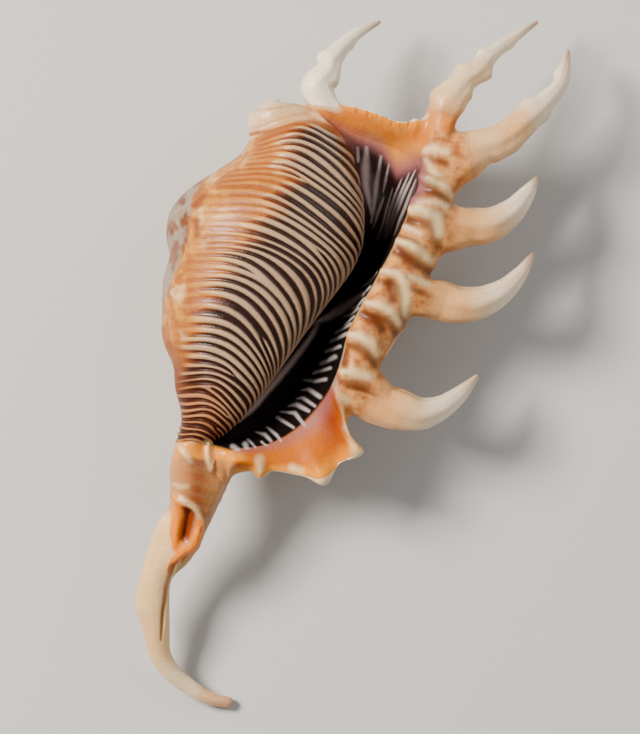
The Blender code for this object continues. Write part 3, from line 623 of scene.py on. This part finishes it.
def buildShell(form, fingers):
    # the whole shell as points, faces and what each point is
    net = guideNet(form)
    ridges = np.arange(0.0, liraCount(form, np.array(form["liraEnd"])), 1.0 / form["rowsPerLira"])
    t = np.concatenate([
        np.linspace(0.0, form["liraStart"], form["spireRows"], endpoint=False),
        stationOfLira(form, ridges),
        np.linspace(form["liraEnd"] + 0.04, form["tipStation"], form["canalRows"]),
    ])
    u = np.concatenate([np.linspace(a, b, n, endpoint=False) for a, b, n in form["around"]])
    reached = sweptStations(form, t, u)
    plain = softSurface(net, reached, u, form["softening"])
    relief = broadRelief(form, fingers, reached, u, plain[:, :, :2])
    grid = plain + gridNormals(plain) * relief[:, :, None]
    grid[:, :, 2] = np.maximum(grid[:, :, 2], form["restLevel"])
    rows, cols = len(t), len(u)
    number = np.arange(rows * cols).reshape(rows, cols)
    points = [grid.reshape(-1, 3)]
    station = [reached.ravel()]
    around = [np.tile(u, rows)]
    reach = [np.zeros(rows * cols)]
    wave = [ridgeWave(form, t, u).ravel()]
    keep = np.ones((rows - 1, cols), dtype=bool)
    faces = []
    total = rows * cols
    roots = []
    for finger in fingers:
        low, high = finger["root"]
        patchRows = [i for i in range(rows) if low <= t[i] <= high]
        patchCols = [j for j in range(cols) if u[j] >= form["rootLines"][0]]
        patchCols += [j for j in range(cols) if u[j] <= form["rootLines"][1]]
        for i in patchRows[:-1]:
            for j in patchCols[:-1]:
                keep[i, j] = False
        loop = [number[patchRows[0], j] for j in patchCols]
        loop += [number[i, patchCols[-1]] for i in patchRows[1:]]
        loop += [number[patchRows[-1], j] for j in reversed(patchCols[:-1])]
        loop += [number[i, patchCols[0]] for i in reversed(patchRows[1:-1])]
        loop = np.array(loop)
        roots.append(loop)
        ringPoints, tip, share = growFinger(points[0][loop], finger, form["fingerRings"])
        count = len(loop)
        before = loop
        for n in range(len(ringPoints)):
            ring = total + np.arange(count)
            total += count
            after = np.roll(ring, -1)
            faces += list(zip(before, np.roll(before, -1), after, ring))
            before = ring
        points.append(ringPoints.reshape(-1, 3))
        points.append(tip[None, :])
        station.append(np.append(np.tile(station[0][loop], len(ringPoints)), sum(finger["root"]) / 2))
        around.append(np.append(np.tile(around[0][loop], len(ringPoints)), form["lines"]))
        reach.append(np.append(np.repeat(share, count), 1.0))
        wave.append(np.zeros(len(ringPoints) * count + 1))
        faces += [(before[k], before[(k + 1) % count], total) for k in range(count)]
        total += 1
    for i in range(rows - 1):
        for j in range(cols):
            if keep[i, j]:
                k = (j + 1) % cols
                faces.append((number[i, j], number[i, k], number[i + 1, k], number[i + 1, j]))
    for row, way in zip((0, rows - 1), form["poleShift"]):
        centre = grid[row].mean(axis=0) + np.array([way[0], way[1], 0.0])
        points.append(centre[None, :])
        station.append(np.array([t[row]]))
        around.append(np.array([form["lines"] / 2]))
        reach.append(np.zeros(1))
        wave.append(np.zeros(1))
        # the first ring is taken backwards, so that its cap faces outwards too
        ring = number[row] if row else number[row][::-1]
        for j in range(cols):
            faces.append((ring[j], ring[(j + 1) % cols], total))
        total += 1
    points = np.concatenate(points)
    station, around = np.concatenate(station), np.concatenate(around)
    reach, wave = np.concatenate(reach), np.concatenate(wave)
    weight = np.zeros(len(points))
    for loop in roots:
        middle = points[loop].mean(axis=0)
        far = np.min(np.linalg.norm(points[:, None, :2] - points[loop][::6][None, :, :2], axis=2), axis=1)
        near = np.abs(points[:, 2] - middle[2]) < form["rootDepth"]
        weight = np.maximum(weight, near * (1 - smoothStep(*form["rootFade"], far)))
    inMouth = (around > 6.0) & (around < 14.2)
    weight = np.where(inMouth, 0.0, weight * form["rootShare"])
    points = softenRoots(points, faces, weight, form["rootRounds"])
    used = np.zeros(len(points), dtype=bool)
    for face in faces:
        used[list(face)] = True
    place = np.cumsum(used) - 1
    faces = [tuple(int(place[k]) for k in face) for face in faces]
    print("grid", rows, "by", cols, "faces", len(faces))
    return points[used], faces, station[used], around[used], reach[used], wave[used]


def strokeMask(xy, strokes, inner, outer):
    # 1 on the strokes, fading out past their sides
    found = np.zeros(len(xy))
    for stroke in strokes:
        found = np.maximum(found, 1 - smoothStep(inner, outer, strokeReach(xy, stroke)))
    return found


def softSpot(x, y, centreX, centreY, halfWidth, halfHeight):
    return np.exp(-((x - centreX) / halfWidth) ** 2 - ((y - centreY) / halfHeight) ** 2)


def paintMasks(form, points, normal, t, u, reach, wave):
    # where each colour and each relief belongs, from 0 to 1 at every point
    x, y, xy = points[:, 0], points[:, 1], points[:, :2]
    onFinger = reach > 0
    body = np.where(onFinger, 0.0, 1.0)
    front = np.where((u > 6.6) & (u < 15.9) & ~onFinger, 1.0, within("facingUp", normal[:, 2]))
    front = np.where((u > 5.2) & (u <= 6.6) & ~onFinger, within("leftTurn", u), front)
    zone = within("body", t) * body
    masks = {"liraWave": wave, "station": t, "turn": np.minimum(u, form["lines"] - u)}

    # striped body: where the stripes are, and how dark their gaps have become
    firstLine = 6.7 - 0.8 * within("startsEarlier", t)
    masks["liraZone"] = zone * within("stripesIn", u - firstLine) * within("stripesOut", u)
    fade = np.interp(y, *borders["fade"]) + 1.3 * np.sin(0.9 * y) + 0.9 * np.sin(2.3 * y + 1.0)
    masks["liraDepth"] = within("gapsDarken", (x - fade) * (1 + 0.5 * within("darkenFaster", y)))
    masks["flush"] = np.exp(-((x - fade + 2.5) / 4.0) ** 2) * masks["liraZone"]
    masks["lowGlaze"] = zone * within("lowGlaze", y) * within("glazeSide", u)
    masks["lowStripes"] = zone * within("lowStripes", y) * within("lowStripesSide", x + 0.5 * (y + 10.0))
    masks["glaze"] = zone * within("glazeSide", u) * within("glazeEnd", u)
    masks["blotch"] = strokeMask(xy, shoulderMarks, 0.2, 1.9) * front * body

    # mouth: dark wall with its pale marks, plum where it turns into the orange sheet
    upperMouth = t < 9.0
    above = y - np.interp(x, *borders["darkLine"])
    masks["dark"] = within("wallPaint", u) * zone * np.where(upperMouth, within("darkEnd", above), 1.0)
    # painted shade: the dark wall turns near black below y 26 to 38, where the mouth runs deep
    masks["paintedDeepShade"] = within("paintedDeepShade", y)
    plum = within("plumRound", u) * zone * np.where(upperMouth, within("plumEnd", above), 0.0)
    flareEdge = within("flareAlong", t) * zone * within("flareRound", u)
    masks["plum"] = np.clip(plum + 0.7 * flareEdge, 0.0, 1.0)
    inMouth = within("mouth", u) * zone
    streaks = np.maximum(strokeMask(xy, mouthMarks["parietal"], -0.4, 2.0),
                         strokeMask(xy, mouthMarks["dashes"], -0.6, 2.5))
    masks["mark"] = streaks * inMouth * (1 - 0.45 * within("marksFaint", y) * within("marksFaintLow", y))
    masks["pale"] = strokeMask(xy, mouthMarks["columella"], 0.3, 1.9) * inMouth

    # orange sheet above and flare below, with their pale rims
    sheet = within("sheetAlong", t) * within("sheetRound", u) * body
    sheet = sheet * within("sheetSide", x - np.interp(y, *borders["sheet"]))
    sheet = sheet * (1 - within("sheetRim", u) * within("firstFinger", t))
    web = softSpot(x, y, 21.5, 58.0, 6.5, 2.4) * front
    low = within("lowAlong", t) * within("lowRound", u) * body
    masks["flare"] = low * within("flareSide", x - np.interp(y, *borders["flare"]))
    rootTint = np.where(onFinger & (t > 7.0) & (t < 8.0), within("rootTint", reach), 0.0)
    masks["orangeShare"] = np.clip(sheet + 0.7 * web + masks["flare"], 0.0, 1.0)
    masks["orangeShare"] = np.maximum(masks["orangeShare"], 0.75 * rootTint)
    masks["ember"] = low * softSpot(x + 0.12 * (y + 14.0), y, -5.2, -13.0, 3.4, 7.0)
    ledge = strokeMask(xy, [studyLines["ledge"]], 0.4, 1.7) * within("ledgePaint", t) * within("ledgeSide", u)
    rims = 0.9 * low * within("rimLow", u) + 0.6 * sheet * within("rimHigh", u)
    masks["rim"] = np.clip(rims + ledge * body, 0.0, 1.0)
    tooth = 0.8 * strokeMask(xy, [crest for _, crest in ledgeTeeth], -0.5, 2.1)
    tooth = tooth * within("toothAlong", t) * within("toothRound", u) * body
    masks["tooth"] = np.maximum(tooth, 0.7 * low * strokeMask(xy, rimMarks, 0.0, 2.2))

    # lip band: pale crests, painted shadow below each crest and painted shade in the sunk folds
    band = within("bandAlong", t) * within("bandRound", u) * front
    band = band * np.where(onFinger, within("bandFinger", reach), 1.0)
    raised = [crest for height, crest in lipFolds if height > 0]
    sunk = [crest for height, crest in lipFolds if height < 0]
    crestPaint = np.maximum(strokeMask(xy, raised, -0.8, 3.4) ** 1.7, 0.35 * strokeMask(xy, raised, 0.3, 4.4))
    masks["band"] = band
    masks["crest"] = crestPaint * band
    # painted shadow: the raised crests moved down, so the band darkens below each crest
    masks["paintedCrestShadow"] = strokeMask(xy + np.array([0.5, 2.6]), raised, -0.4, 2.6) * band
    # painted shade in the sunk folds of the band
    masks["paintedFoldShade"] = strokeMask(xy, sunk, 0.0, 2.6) * band

    # shoulder on the left, past the edge of the glaze
    shoulder = within("shoulderSide", x - np.interp(y, *borders["glaze"])) * within("shoulderAlong", t)
    masks["shoulder"] = shoulder * within("shoulderRound", u) * body

    # canal: streaked base, open trough, bright lobe and seam
    masks["root"] = within("base", t) * body * front
    masks["rootGlow"] = softSpot(x - 0.1 * (y + 28.0), y, -37.1, 0.0, 3.3, np.inf)
    masks["rootFold"] = strokeMask(xy, rootFolds, 0.0, 2.0)
    trough = within("trough", t) * front * body
    masks["slot"] = strokeMask(xy, [studyLines["slot"]], 0.4, 1.4) * trough
    masks["lobe"] = strokeMask(xy, [studyLines["lobe"], studyLines["slotSide"]], 0.8, 1.9) * trough
    masks["seam"] = strokeMask(xy, [studyLines["seam"]], 0.4, 2.2) * front * body * within("seam", t)
    masks["canal"] = within("canal", t) * body * front

    # back, fingers and spire
    masks["back"] = np.clip(1 - front, 0.0, 1.0) * (1 - 0.6 * within("rootBack", reach))
    masks["cords"] = masks["back"] * within("cordsAlong", t) * within("cordsRound", u) * body
    warm = np.where(t < 5.0, 0.0, np.where(t < 8.0, 0.45, np.where(t < 9.1, 0.6, 1.0)))
    masks["fingerFlush"] = np.where(onFinger, np.exp(-(reach / 0.5) ** 2), 0.0) * warm
    # the fingers' own paler middle, and painted light on the first finger: it is made full cream so that it
    # looks more brightly lit
    masks["paleAndLitFinger"] = np.where(t < 5.0, 1.0, 0.6 * within("paleFinger", reach)) * onFinger
    masks["spire"] = body * within("spire", t)
    groove = np.exp(-((spireTurns(t, u) - 0.5) / 0.13) ** 2)
    masks["whorlLine"] = masks["spire"] * groove * within("whorlLine", t)
    masks["suture"] = strokeMask(xy, [studyLines["suture"]], 0.2, 1.8) * front * (t < 5.5) * (u > 6.0)
    masks["tip"] = np.maximum(within("fingerTip", reach), within("canalTip", t) * body)
    return masks


points, faces, station, around, fingerReach, wave = buildShell(shellForm, fingerForm)

mesh = bpy.data.meshes.new("spiderConch")
mesh.from_pydata(points.tolist(), [], faces)
mesh.validate()
mesh.update()
normals = np.zeros(len(mesh.vertices) * 3)
mesh.vertex_normals.foreach_get("vector", normals)
normals = normals.reshape(-1, 3)
lowest = int(np.argmin(points[:, 2]))
if normals[lowest, 2] > 0:
    mesh.flip_normals()
    mesh.update()
    normals = -normals
masks = paintMasks(shellForm, points, normals, station, around, fingerReach, wave)
scaled = (points - np.array([shellForm["middle"][0], shellForm["middle"][1], shellForm["restLevel"]])) * 0.001
mesh.vertices.foreach_set("co", scaled.ravel())
for name, values in masks.items():
    attribute = mesh.attributes.new(name, "FLOAT", "POINT")
    attribute.data.foreach_set("value", np.asarray(values, dtype=np.float32))
mesh.update()
shell = bpy.data.objects.new("spiderConch", mesh)
bpy.context.scene.collection.objects.link(shell)
print("plain shell made, points", len(points))


# Shell finish: colours as they look, 0 to 255
shellFinish = {
    "ivory": (240, 210, 164), "cream": (252, 238, 212), "peach": (230, 158, 86), "tan": (166, 92, 42),
    # the dark brown of the lip band is painted shade, below its crests and in its sunk folds
    "paintedFoldShade": (96, 42, 14), "crest": (244, 212, 158), "warmRidge": (228, 160, 66),
    "greyRidge": (178, 146, 116), "lowRidge": (176, 104, 52), "warmGap": (146, 66, 12),
    "darkGap": (38, 16, 9), "lowGap": (64, 24, 8), "glaze": (176, 102, 12), "lowGlaze": (120, 54, 10),
    "flush": (156, 80, 8), "flushDark": (124, 50, 4), "chalk": (152, 134, 112), "chestnut": (112, 54, 14),
    # core: near-black painted shade of the deep mouth
    "dark": (46, 22, 20), "paintedDeepShade": (13, 4, 3), "plum": (142, 88, 88), "mark": (178, 166, 164),
    "pale": (158, 136, 130), "orange": (208, 108, 22), "lightOrange": (222, 138, 48), "ember": (140, 50, 0),
    "flare": (192, 96, 2), "rim": (236, 144, 20), "root": (196, 130, 70), "rootGlow": (116, 52, 14),
    "slot": (128, 48, 8), "lobe": (240, 130, 0), "spire": (216, 160, 96), "canal": (238, 190, 128),
    "backLight": (226, 192, 146), "backDark": (140, 78, 36), "tip": (186, 128, 96),
}

# Grains of the paint: scale, detail and, where it isn't the usual one, roughness
grainForm = {
    "broad": (90.0, 3.0), "small": (420.0, 4.0), "fine": (1600.0, 3.0), "flushPatches": (170.0, 3.0),
    "palePatches": (140.0, 2.0), "mottle": (190.0, 4.0), "backMottle": (150.0, 5.0, 0.6),
}

# Gloss of the glaze, and how much the worn and deep parts take off
glossForm = {"specular": 0.34, "dullSpecular": -0.24, "coat": 0.1, "coatRoughness": 0.1,
             "bumpStrength": 0.25, "bumpDistance": 0.0004}


def shade(name):
    # a colour of the finish as the shader wants it
    found = []
    for value in shellFinish[name]:
        c = value / 255.0
        found.append(c / 12.92 if c <= 0.04045 else ((c + 0.055) / 1.055) ** 2.4)
    return (*found, 1.0)


def readMask(tree, name):
    node = tree.nodes.new("ShaderNodeAttribute")
    node.attribute_name = name
    return node.outputs["Fac"]


def plug(tree, socket, value):
    if isinstance(value, bpy.types.NodeSocket):
        tree.links.new(value, socket)
    else:
        socket.default_value = value


def mixColour(tree, factor, first, second, kind="MIX"):
    node = tree.nodes.new("ShaderNodeMix")
    node.data_type = "RGBA"
    node.blend_type = kind
    plug(tree, node.inputs[0], factor)
    plug(tree, node.inputs[6], first)
    plug(tree, node.inputs[7], second)
    return node.outputs[2]


def maths(tree, operation, first, second=0.0, third=None):
    node = tree.nodes.new("ShaderNodeMath")
    node.operation = operation
    plug(tree, node.inputs[0], first)
    plug(tree, node.inputs[1], second)
    if third is not None:
        plug(tree, node.inputs[2], third)
    return node.outputs[0]


def ramp(tree, value, low, high, start=0.0, end=1.0):
    node = tree.nodes.new("ShaderNodeMapRange")
    node.interpolation_type = "SMOOTHSTEP"
    plug(tree, node.inputs["Value"], value)
    node.inputs["From Min"].default_value = low
    node.inputs["From Max"].default_value = high
    node.inputs["To Min"].default_value = start
    node.inputs["To Max"].default_value = end
    return node.outputs["Result"]


def noise(tree, vector, scale, detail, roughness=0.55):
    node = tree.nodes.new("ShaderNodeTexNoise")
    tree.links.new(vector, node.inputs["Vector"])
    node.inputs["Scale"].default_value = scale
    node.inputs["Detail"].default_value = detail
    node.inputs["Roughness"].default_value = roughness
    return node.outputs["Fac"]


def shellMaterial():
    material = bpy.data.materials.new("conchGlaze")
    material.use_nodes = True
    tree = material.node_tree
    principled = tree.nodes["Principled BSDF"]
    place = tree.nodes.new("ShaderNodeTexCoord").outputs["Object"]

    def grain(name, *ends):
        found = noise(tree, place, *grainForm[name])
        return ramp(tree, found, *ends) if ends else found

    def read(name, *ends):
        found = readMask(tree, name)
        return ramp(tree, found, *ends) if ends else found

    def times(first, second):
        return maths(tree, "MULTIPLY", first, second)

    def loosened(name):
        # a mask with its edge broken up by the small grain
        return maths(tree, "MULTIPLY_ADD", maths(tree, "SUBTRACT", small, 0.5), 0.5, readMask(tree, name))

    def mask(name, most=1.0):
        return ramp(tree, loosened(name), 0.12, 0.88, 0.0, most)

    def lay(under, share, over):
        # a named colour, or a mix of them, laid over what is there
        under, over = (shade(part) if isinstance(part, str) else part for part in (under, over))
        return mixColour(tree, share, under, over)

    broad, small, fine = grain("broad"), grain("small"), grain("fine")
    growth = tree.nodes.new("ShaderNodeTexWave")
    growth.bands_direction = "X"
    growth.inputs["Scale"].default_value = 2.2
    growth.inputs["Distortion"].default_value = 3.0
    growth.inputs["Detail"].default_value = 3.0
    joined = tree.nodes.new("ShaderNodeCombineXYZ")
    station = read("station")
    tree.links.new(read("turn"), joined.inputs[0])
    tree.links.new(times(station, 0.3), joined.inputs[1])
    tree.links.new(joined.outputs[0], growth.inputs["Vector"])
    growth = growth.outputs["Fac"]

    # fingers, spire and lip band
    colour = lay("ivory", ramp(tree, broad, 0.42, 0.68, 0.0, 0.7), "peach")
    colour = lay(colour, ramp(tree, small, 0.5, 0.75, 0.0, 0.5), "cream")
    # cream on the fingers: their own paler middle, and painted light over the whole first finger
    colour = lay(colour, read("paleAndLitFinger"), "cream")
    colour = lay(colour, mask("canal", 0.8), "canal")
    colour = lay(colour, mask("fingerFlush", 0.85), "peach")
    colour = lay(colour, mask("spire"), lay("cream", ramp(tree, broad, 0.3, 0.7, 0.4, 0.95), "spire"))
    colour = lay(colour, mask("band"), lay("tan", ramp(tree, small, 0.3, 0.7), "peach"))
    # painted shadow below the crests and painted shade in the sunk folds, both in the same dark brown
    colour = lay(colour, ramp(tree, loosened("paintedCrestShadow"), 0.1, 1.0, 0.0, 0.85), "paintedFoldShade")
    colour = lay(colour, read("paintedFoldShade", 0.1, 1.0, 0.0, 0.9), "paintedFoldShade")
    colour = lay(colour, read("crest", 0.1, 1.0, 0.0, 0.95), "crest")

    # striped body: warm on the left, greyer and darker to the right
    warm = lay("glaze", ramp(tree, small, 0.35, 0.65, 0.0, 0.7), "warmRidge")
    warm = lay(warm, grain("flushPatches", 0.44, 0.62, 0.0, 0.9), "flush")
    warm = lay(warm, grain("palePatches", 0.58, 0.7, 0.0, 0.55), "crest")
    warm = lay(warm, mask("flush", 0.8), "flush")
    warm = lay(warm, mask("lowGlaze"), "lowGlaze")
    colour = lay(colour, read("glaze"), warm)
    low, depth = read("lowStripes"), read("liraDepth")
    wander = maths(tree, "MULTIPLY_ADD", small, 0.5, maths(tree, "SUBTRACT", read("liraWave"), 0.25))
    ridge = ramp(tree, maths(tree, "MULTIPLY_ADD", low, -0.35, wander), -0.5, 0.65)
    ridgeTone = lay(lay("warmRidge", depth, "greyRidge"), times(low, 0.75), "lowRidge")
    gapTone = lay(lay("warmGap", depth, "darkGap"), times(low, 0.8), "lowGap")
    share = times(read("liraZone"), ramp(tree, depth, 0.0, 0.5, 0.3, 1.0))
    colour = lay(colour, share, lay(gapTone, ridge, ridgeTone))
    colour = lay(colour, mask("shoulder"), lay("chalk", grain("mottle", 0.46, 0.68), "chestnut"))
    colour = lay(colour, mask("blotch", 0.75), "flushDark")

    # orange sheet, flare and ledge, with the base and the trough of the canal
    colour = lay(colour, mask("suture", 0.8), "flush")
    colour = lay(colour, mask("orangeShare"), lay("orange", ramp(tree, broad, 0.35, 0.65), "lightOrange"))
    colour = lay(colour, mask("flare"), "flare")
    colour = lay(colour, read("ember"), "ember")
    streaks = maths(tree, "SINE", maths(tree, "MULTIPLY_ADD", small, 2.0, times(station, 11.0)))
    root = lay("root", times(read("rootGlow"), 0.9), "rootGlow")
    root = lay(root, ramp(tree, streaks, -0.6, 1.0, 0.0, 0.05), "crest")
    root = lay(root, times(read("rootFold"), 0.5), "crest")
    colour = lay(colour, read("root"), root)
    colour = lay(colour, mask("rim"), "rim")
    colour = lay(colour, mask("lobe"), "lobe")
    colour = lay(colour, read("slot"), "slot")
    colour = lay(colour, mask("seam", 0.7), "tan")

    # mouth wall and its marks, with painted shade near black where the mouth runs deep
    colour = lay(colour, read("plum"), "plum")
    colour = lay(colour, read("dark"), lay("dark", read("paintedDeepShade"), "paintedDeepShade"))
    colour = lay(colour, read("pale"), "pale")
    colour = lay(colour, read("mark", 0.1, 0.9, 0.0, 0.95), "mark")
    colour = lay(colour, read("tooth"), "crest")

    # back: cream with brown mottling along the growth lines
    mottle = ramp(tree, maths(tree, "ADD", grain("backMottle"), times(growth, 0.12)), 0.46, 0.66)
    back = maths(tree, "SUBTRACT", read("back"), times(read("spire"), 0.5))
    colour = lay(colour, back, lay("backLight", mottle, "backDark"))
    colour = lay(colour, times(read("whorlLine"), 0.4), "tan")
    colour = lay(colour, times(read("tip"), 0.7), "tip")
    speck = lay((0.9, 0.88, 0.85, 1.0), ramp(tree, fine, 0.3, 0.7), (1.0, 1.0, 1.0, 1.0))
    colour = mixColour(tree, 1.0, colour, speck, "MULTIPLY")
    tree.links.new(colour, principled.inputs["Base Color"])

    # gloss: less of it deep in the mouth, on the flare, on the band and low on the body
    deep = times(read("dark"), read("paintedDeepShade"))
    dull = deep
    for name, part in (("flare", 1.0), ("band", 0.6), ("lowGlaze", 0.9)):
        dull = maths(tree, "MAXIMUM", dull, times(read(name), part))
    warmSide = times(read("glaze"), maths(tree, "SUBTRACT", 1.0, depth))
    roughness = ramp(tree, small, 0.3, 0.7, 0.26, 0.4)
    for where, part in ((back, 0.2), (deep, 0.35), (dull, 0.12), (warmSide, 0.12)):
        roughness = maths(tree, "MULTIPLY_ADD", where, part, roughness)
    tree.links.new(roughness, principled.inputs["Roughness"])
    glazed = maths(tree, "SUBTRACT", 1.0, maths(tree, "MAXIMUM", back, dull))
    tree.links.new(times(glazed, glossForm["coat"]), principled.inputs["Coat Weight"])
    principled.inputs["Coat Roughness"].default_value = glossForm["coatRoughness"]
    specular = maths(tree, "MULTIPLY_ADD", dull, glossForm["dullSpecular"], glossForm["specular"])
    tree.links.new(specular, principled.inputs["Specular IOR Level"])
    bump = tree.nodes.new("ShaderNodeBump")
    bump.inputs["Strength"].default_value = glossForm["bumpStrength"]
    bump.inputs["Distance"].default_value = glossForm["bumpDistance"]
    lines = times(times(growth, back), 0.6)
    tree.links.new(maths(tree, "ADD", fine, lines), bump.inputs["Height"])
    tree.links.new(bump.outputs["Normal"], principled.inputs["Normal"])
    return material


# Raised ridges, cords and grain, laid on the shell by Geometry Nodes
reliefSettings = {"Ridge height": 0.0006, "Grain height": 0.0003, "Grain scale": 260.0, "Cord height": 0.0005,
                  "Seed": 4.0}


def reliefTree():
    tree = bpy.data.node_groups.new("conchRelief", "GeometryNodeTree")
    tree.interface.new_socket("Geometry", in_out="INPUT", socket_type="NodeSocketGeometry")
    tree.interface.new_socket("Geometry", in_out="OUTPUT", socket_type="NodeSocketGeometry")
    for name in reliefSettings:
        tree.interface.new_socket(name, in_out="INPUT", socket_type="NodeSocketFloat")
    tree.interface.new_socket("Finish", in_out="INPUT", socket_type="NodeSocketMaterial")
    given = tree.nodes.new("NodeGroupInput").outputs
    result = tree.nodes.new("NodeGroupOutput")

    def stored(name):
        node = tree.nodes.new("GeometryNodeInputNamedAttribute")
        node.data_type = "FLOAT"
        node.inputs["Name"].default_value = name
        return node.outputs["Attribute"]

    def times(first, second):
        return maths(tree, "MULTIPLY", first, second)

    crown = ramp(tree, stored("liraWave"), -0.8, 0.9)
    zone = times(stored("liraZone"), ramp(tree, stored("liraDepth"), 0.0, 0.7, 0.15, 1.0))
    ridges = times(times(crown, zone), given["Ridge height"])
    cordTurns = times(stored("station"), 2 * math.pi * 2.0)
    cords = times(times(maths(tree, "SINE", cordTurns), stored("cords")), given["Cord height"])
    grain = tree.nodes.new("ShaderNodeTexNoise")
    grain.noise_dimensions = "4D"
    tree.links.new(given["Seed"], grain.inputs["W"])
    tree.links.new(given["Grain scale"], grain.inputs["Scale"])
    tree.links.new(tree.nodes.new("GeometryNodeInputPosition").outputs[0], grain.inputs["Vector"])
    rough = times(maths(tree, "SUBTRACT", grain.outputs["Fac"], 0.5), given["Grain height"])
    total = maths(tree, "ADD", maths(tree, "ADD", ridges, cords), rough)
    push = tree.nodes.new("ShaderNodeVectorMath")
    push.operation = "SCALE"
    tree.links.new(tree.nodes.new("GeometryNodeInputNormal").outputs[0], push.inputs[0])
    tree.links.new(total, push.inputs["Scale"])
    flow = given["Geometry"]
    extras = {"SetPosition": ("Offset", push.outputs[0]), "SetMaterial": ("Material", given["Finish"])}
    for kind in ("SetPosition", "SetShadeSmooth", "RealizeInstances", "SetMaterial"):
        node = tree.nodes.new("GeometryNode" + kind)
        tree.links.new(flow, node.inputs["Geometry"])
        if kind in extras:
            tree.links.new(extras[kind][1], node.inputs[extras[kind][0]])
        flow = node.outputs[0]
    tree.links.new(flow, result.inputs[0])
    return tree


conchGlaze = shellMaterial()
modifier = shell.modifiers.new("relief", "NODES")
modifier.node_group = reliefTree()
for item in modifier.node_group.interface.items_tree:
    if item.in_out == "INPUT" and item.name in reliefSettings:
        modifier[item.identifier] = reliefSettings[item.name]
    if item.in_out == "INPUT" and item.name == "Finish":
        modifier[item.identifier] = conchGlaze
bpy.context.view_layer.update()
evaluated = shell.evaluated_get(bpy.context.evaluated_depsgraph_get())
finished = bpy.data.meshes.new_from_object(evaluated)
shell.modifiers.remove(modifier)
shell.data = finished
finished.name = "spiderConch"

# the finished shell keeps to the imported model's box
co = np.zeros(len(finished.vertices) * 3)
finished.vertices.foreach_get("co", co)
co = co.reshape(-1, 3)
wantLow, wantHigh = np.array(cadBox[0]), np.array(cadBox[1])
haveLow, haveHigh = co.min(axis=0), co.max(axis=0)
print("box before fitting mm", np.round(haveLow * 1000, 2), np.round(haveHigh * 1000, 2))
co = (co - haveLow) / (haveHigh - haveLow) * (wantHigh - wantLow) + wantLow
finished.vertices.foreach_set("co", co.ravel())
finished.update()
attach(shell, "root")
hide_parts("spider_conch_shell")
print("shell finished, faces", len(finished.polygons))


# Studio: pale floor, soft lights and the camera straight above
studio = {
    "cameraHeight": 2.0, "frameHeight": 0.17616, "focusHeight": 0.026, "camera": (-0.00793, -0.00044),
    "sensor": 24.0, "floorReach": 3.0, "paper": (0.56, 0.55, 0.53, 1.0), "paperRoughness": 0.9,
    "aim": (0.0, 0.0, 0.02), "sky": (1.0, 1.0, 1.0, 1.0), "skyStrength": 0.28,
    # lights: name, place, side, power, colour
    "lights": [
        ("keyLight", (-0.72, 0.32, 0.85), 0.34, 30.0, (1.0, 0.95, 0.88)),
        ("fillLight", (0.8, 0.45, 0.9), 0.9, 5.0, (0.97, 0.98, 1.0)),
    ],
}

floorMesh = bpy.data.meshes.new("studioFloor")
corners = np.array([(-1, -1, 0), (1, -1, 0), (1, 1, 0), (-1, 1, 0)]) * studio["floorReach"]
floorMesh.from_pydata(corners.tolist(), [], [(0, 1, 2, 3)])
floor = bpy.data.objects.new("studioFloor", floorMesh)
bpy.context.scene.collection.objects.link(floor)
floorPaint = bpy.data.materials.new("studioPaper")
floorPaint.use_nodes = True
paper = floorPaint.node_tree.nodes["Principled BSDF"].inputs
paper["Base Color"].default_value = studio["paper"]
paper["Roughness"].default_value = studio["paperRoughness"]
floorMesh.materials.append(floorPaint)

for name, place, side, power, tint in studio["lights"]:
    light = bpy.data.lights.new(name, "AREA")
    light.shape = "SQUARE"
    light.size = side
    light.energy = power
    light.color = tint
    lamp = bpy.data.objects.new(name, light)
    lamp.location = place
    bpy.context.scene.collection.objects.link(lamp)
    away = np.array(place) - np.array(studio["aim"])
    away = away / np.linalg.norm(away)
    lamp.rotation_euler = (math.acos(away[2]), 0.0, math.atan2(away[1], away[0]) + math.pi / 2)

world = bpy.data.worlds.new("studioWorld")
world.use_nodes = True
world.node_tree.nodes["Background"].inputs["Color"].default_value = studio["sky"]
world.node_tree.nodes["Background"].inputs["Strength"].default_value = studio["skyStrength"]
bpy.context.scene.world = world

camera = bpy.data.cameras.new("studioCamera")
camera.type = "PERSP"
camera.sensor_fit = "VERTICAL"
camera.sensor_height = studio["sensor"]
camera.lens = studio["sensor"] * (studio["cameraHeight"] - studio["focusHeight"]) / studio["frameHeight"]
cameraObject = bpy.data.objects.new("studioCamera", camera)
cameraObject.location = (studio["camera"][0], studio["camera"][1], studio["cameraHeight"])
bpy.context.scene.collection.objects.link(cameraObject)
bpy.context.scene.camera = cameraObject
print("studio ready")
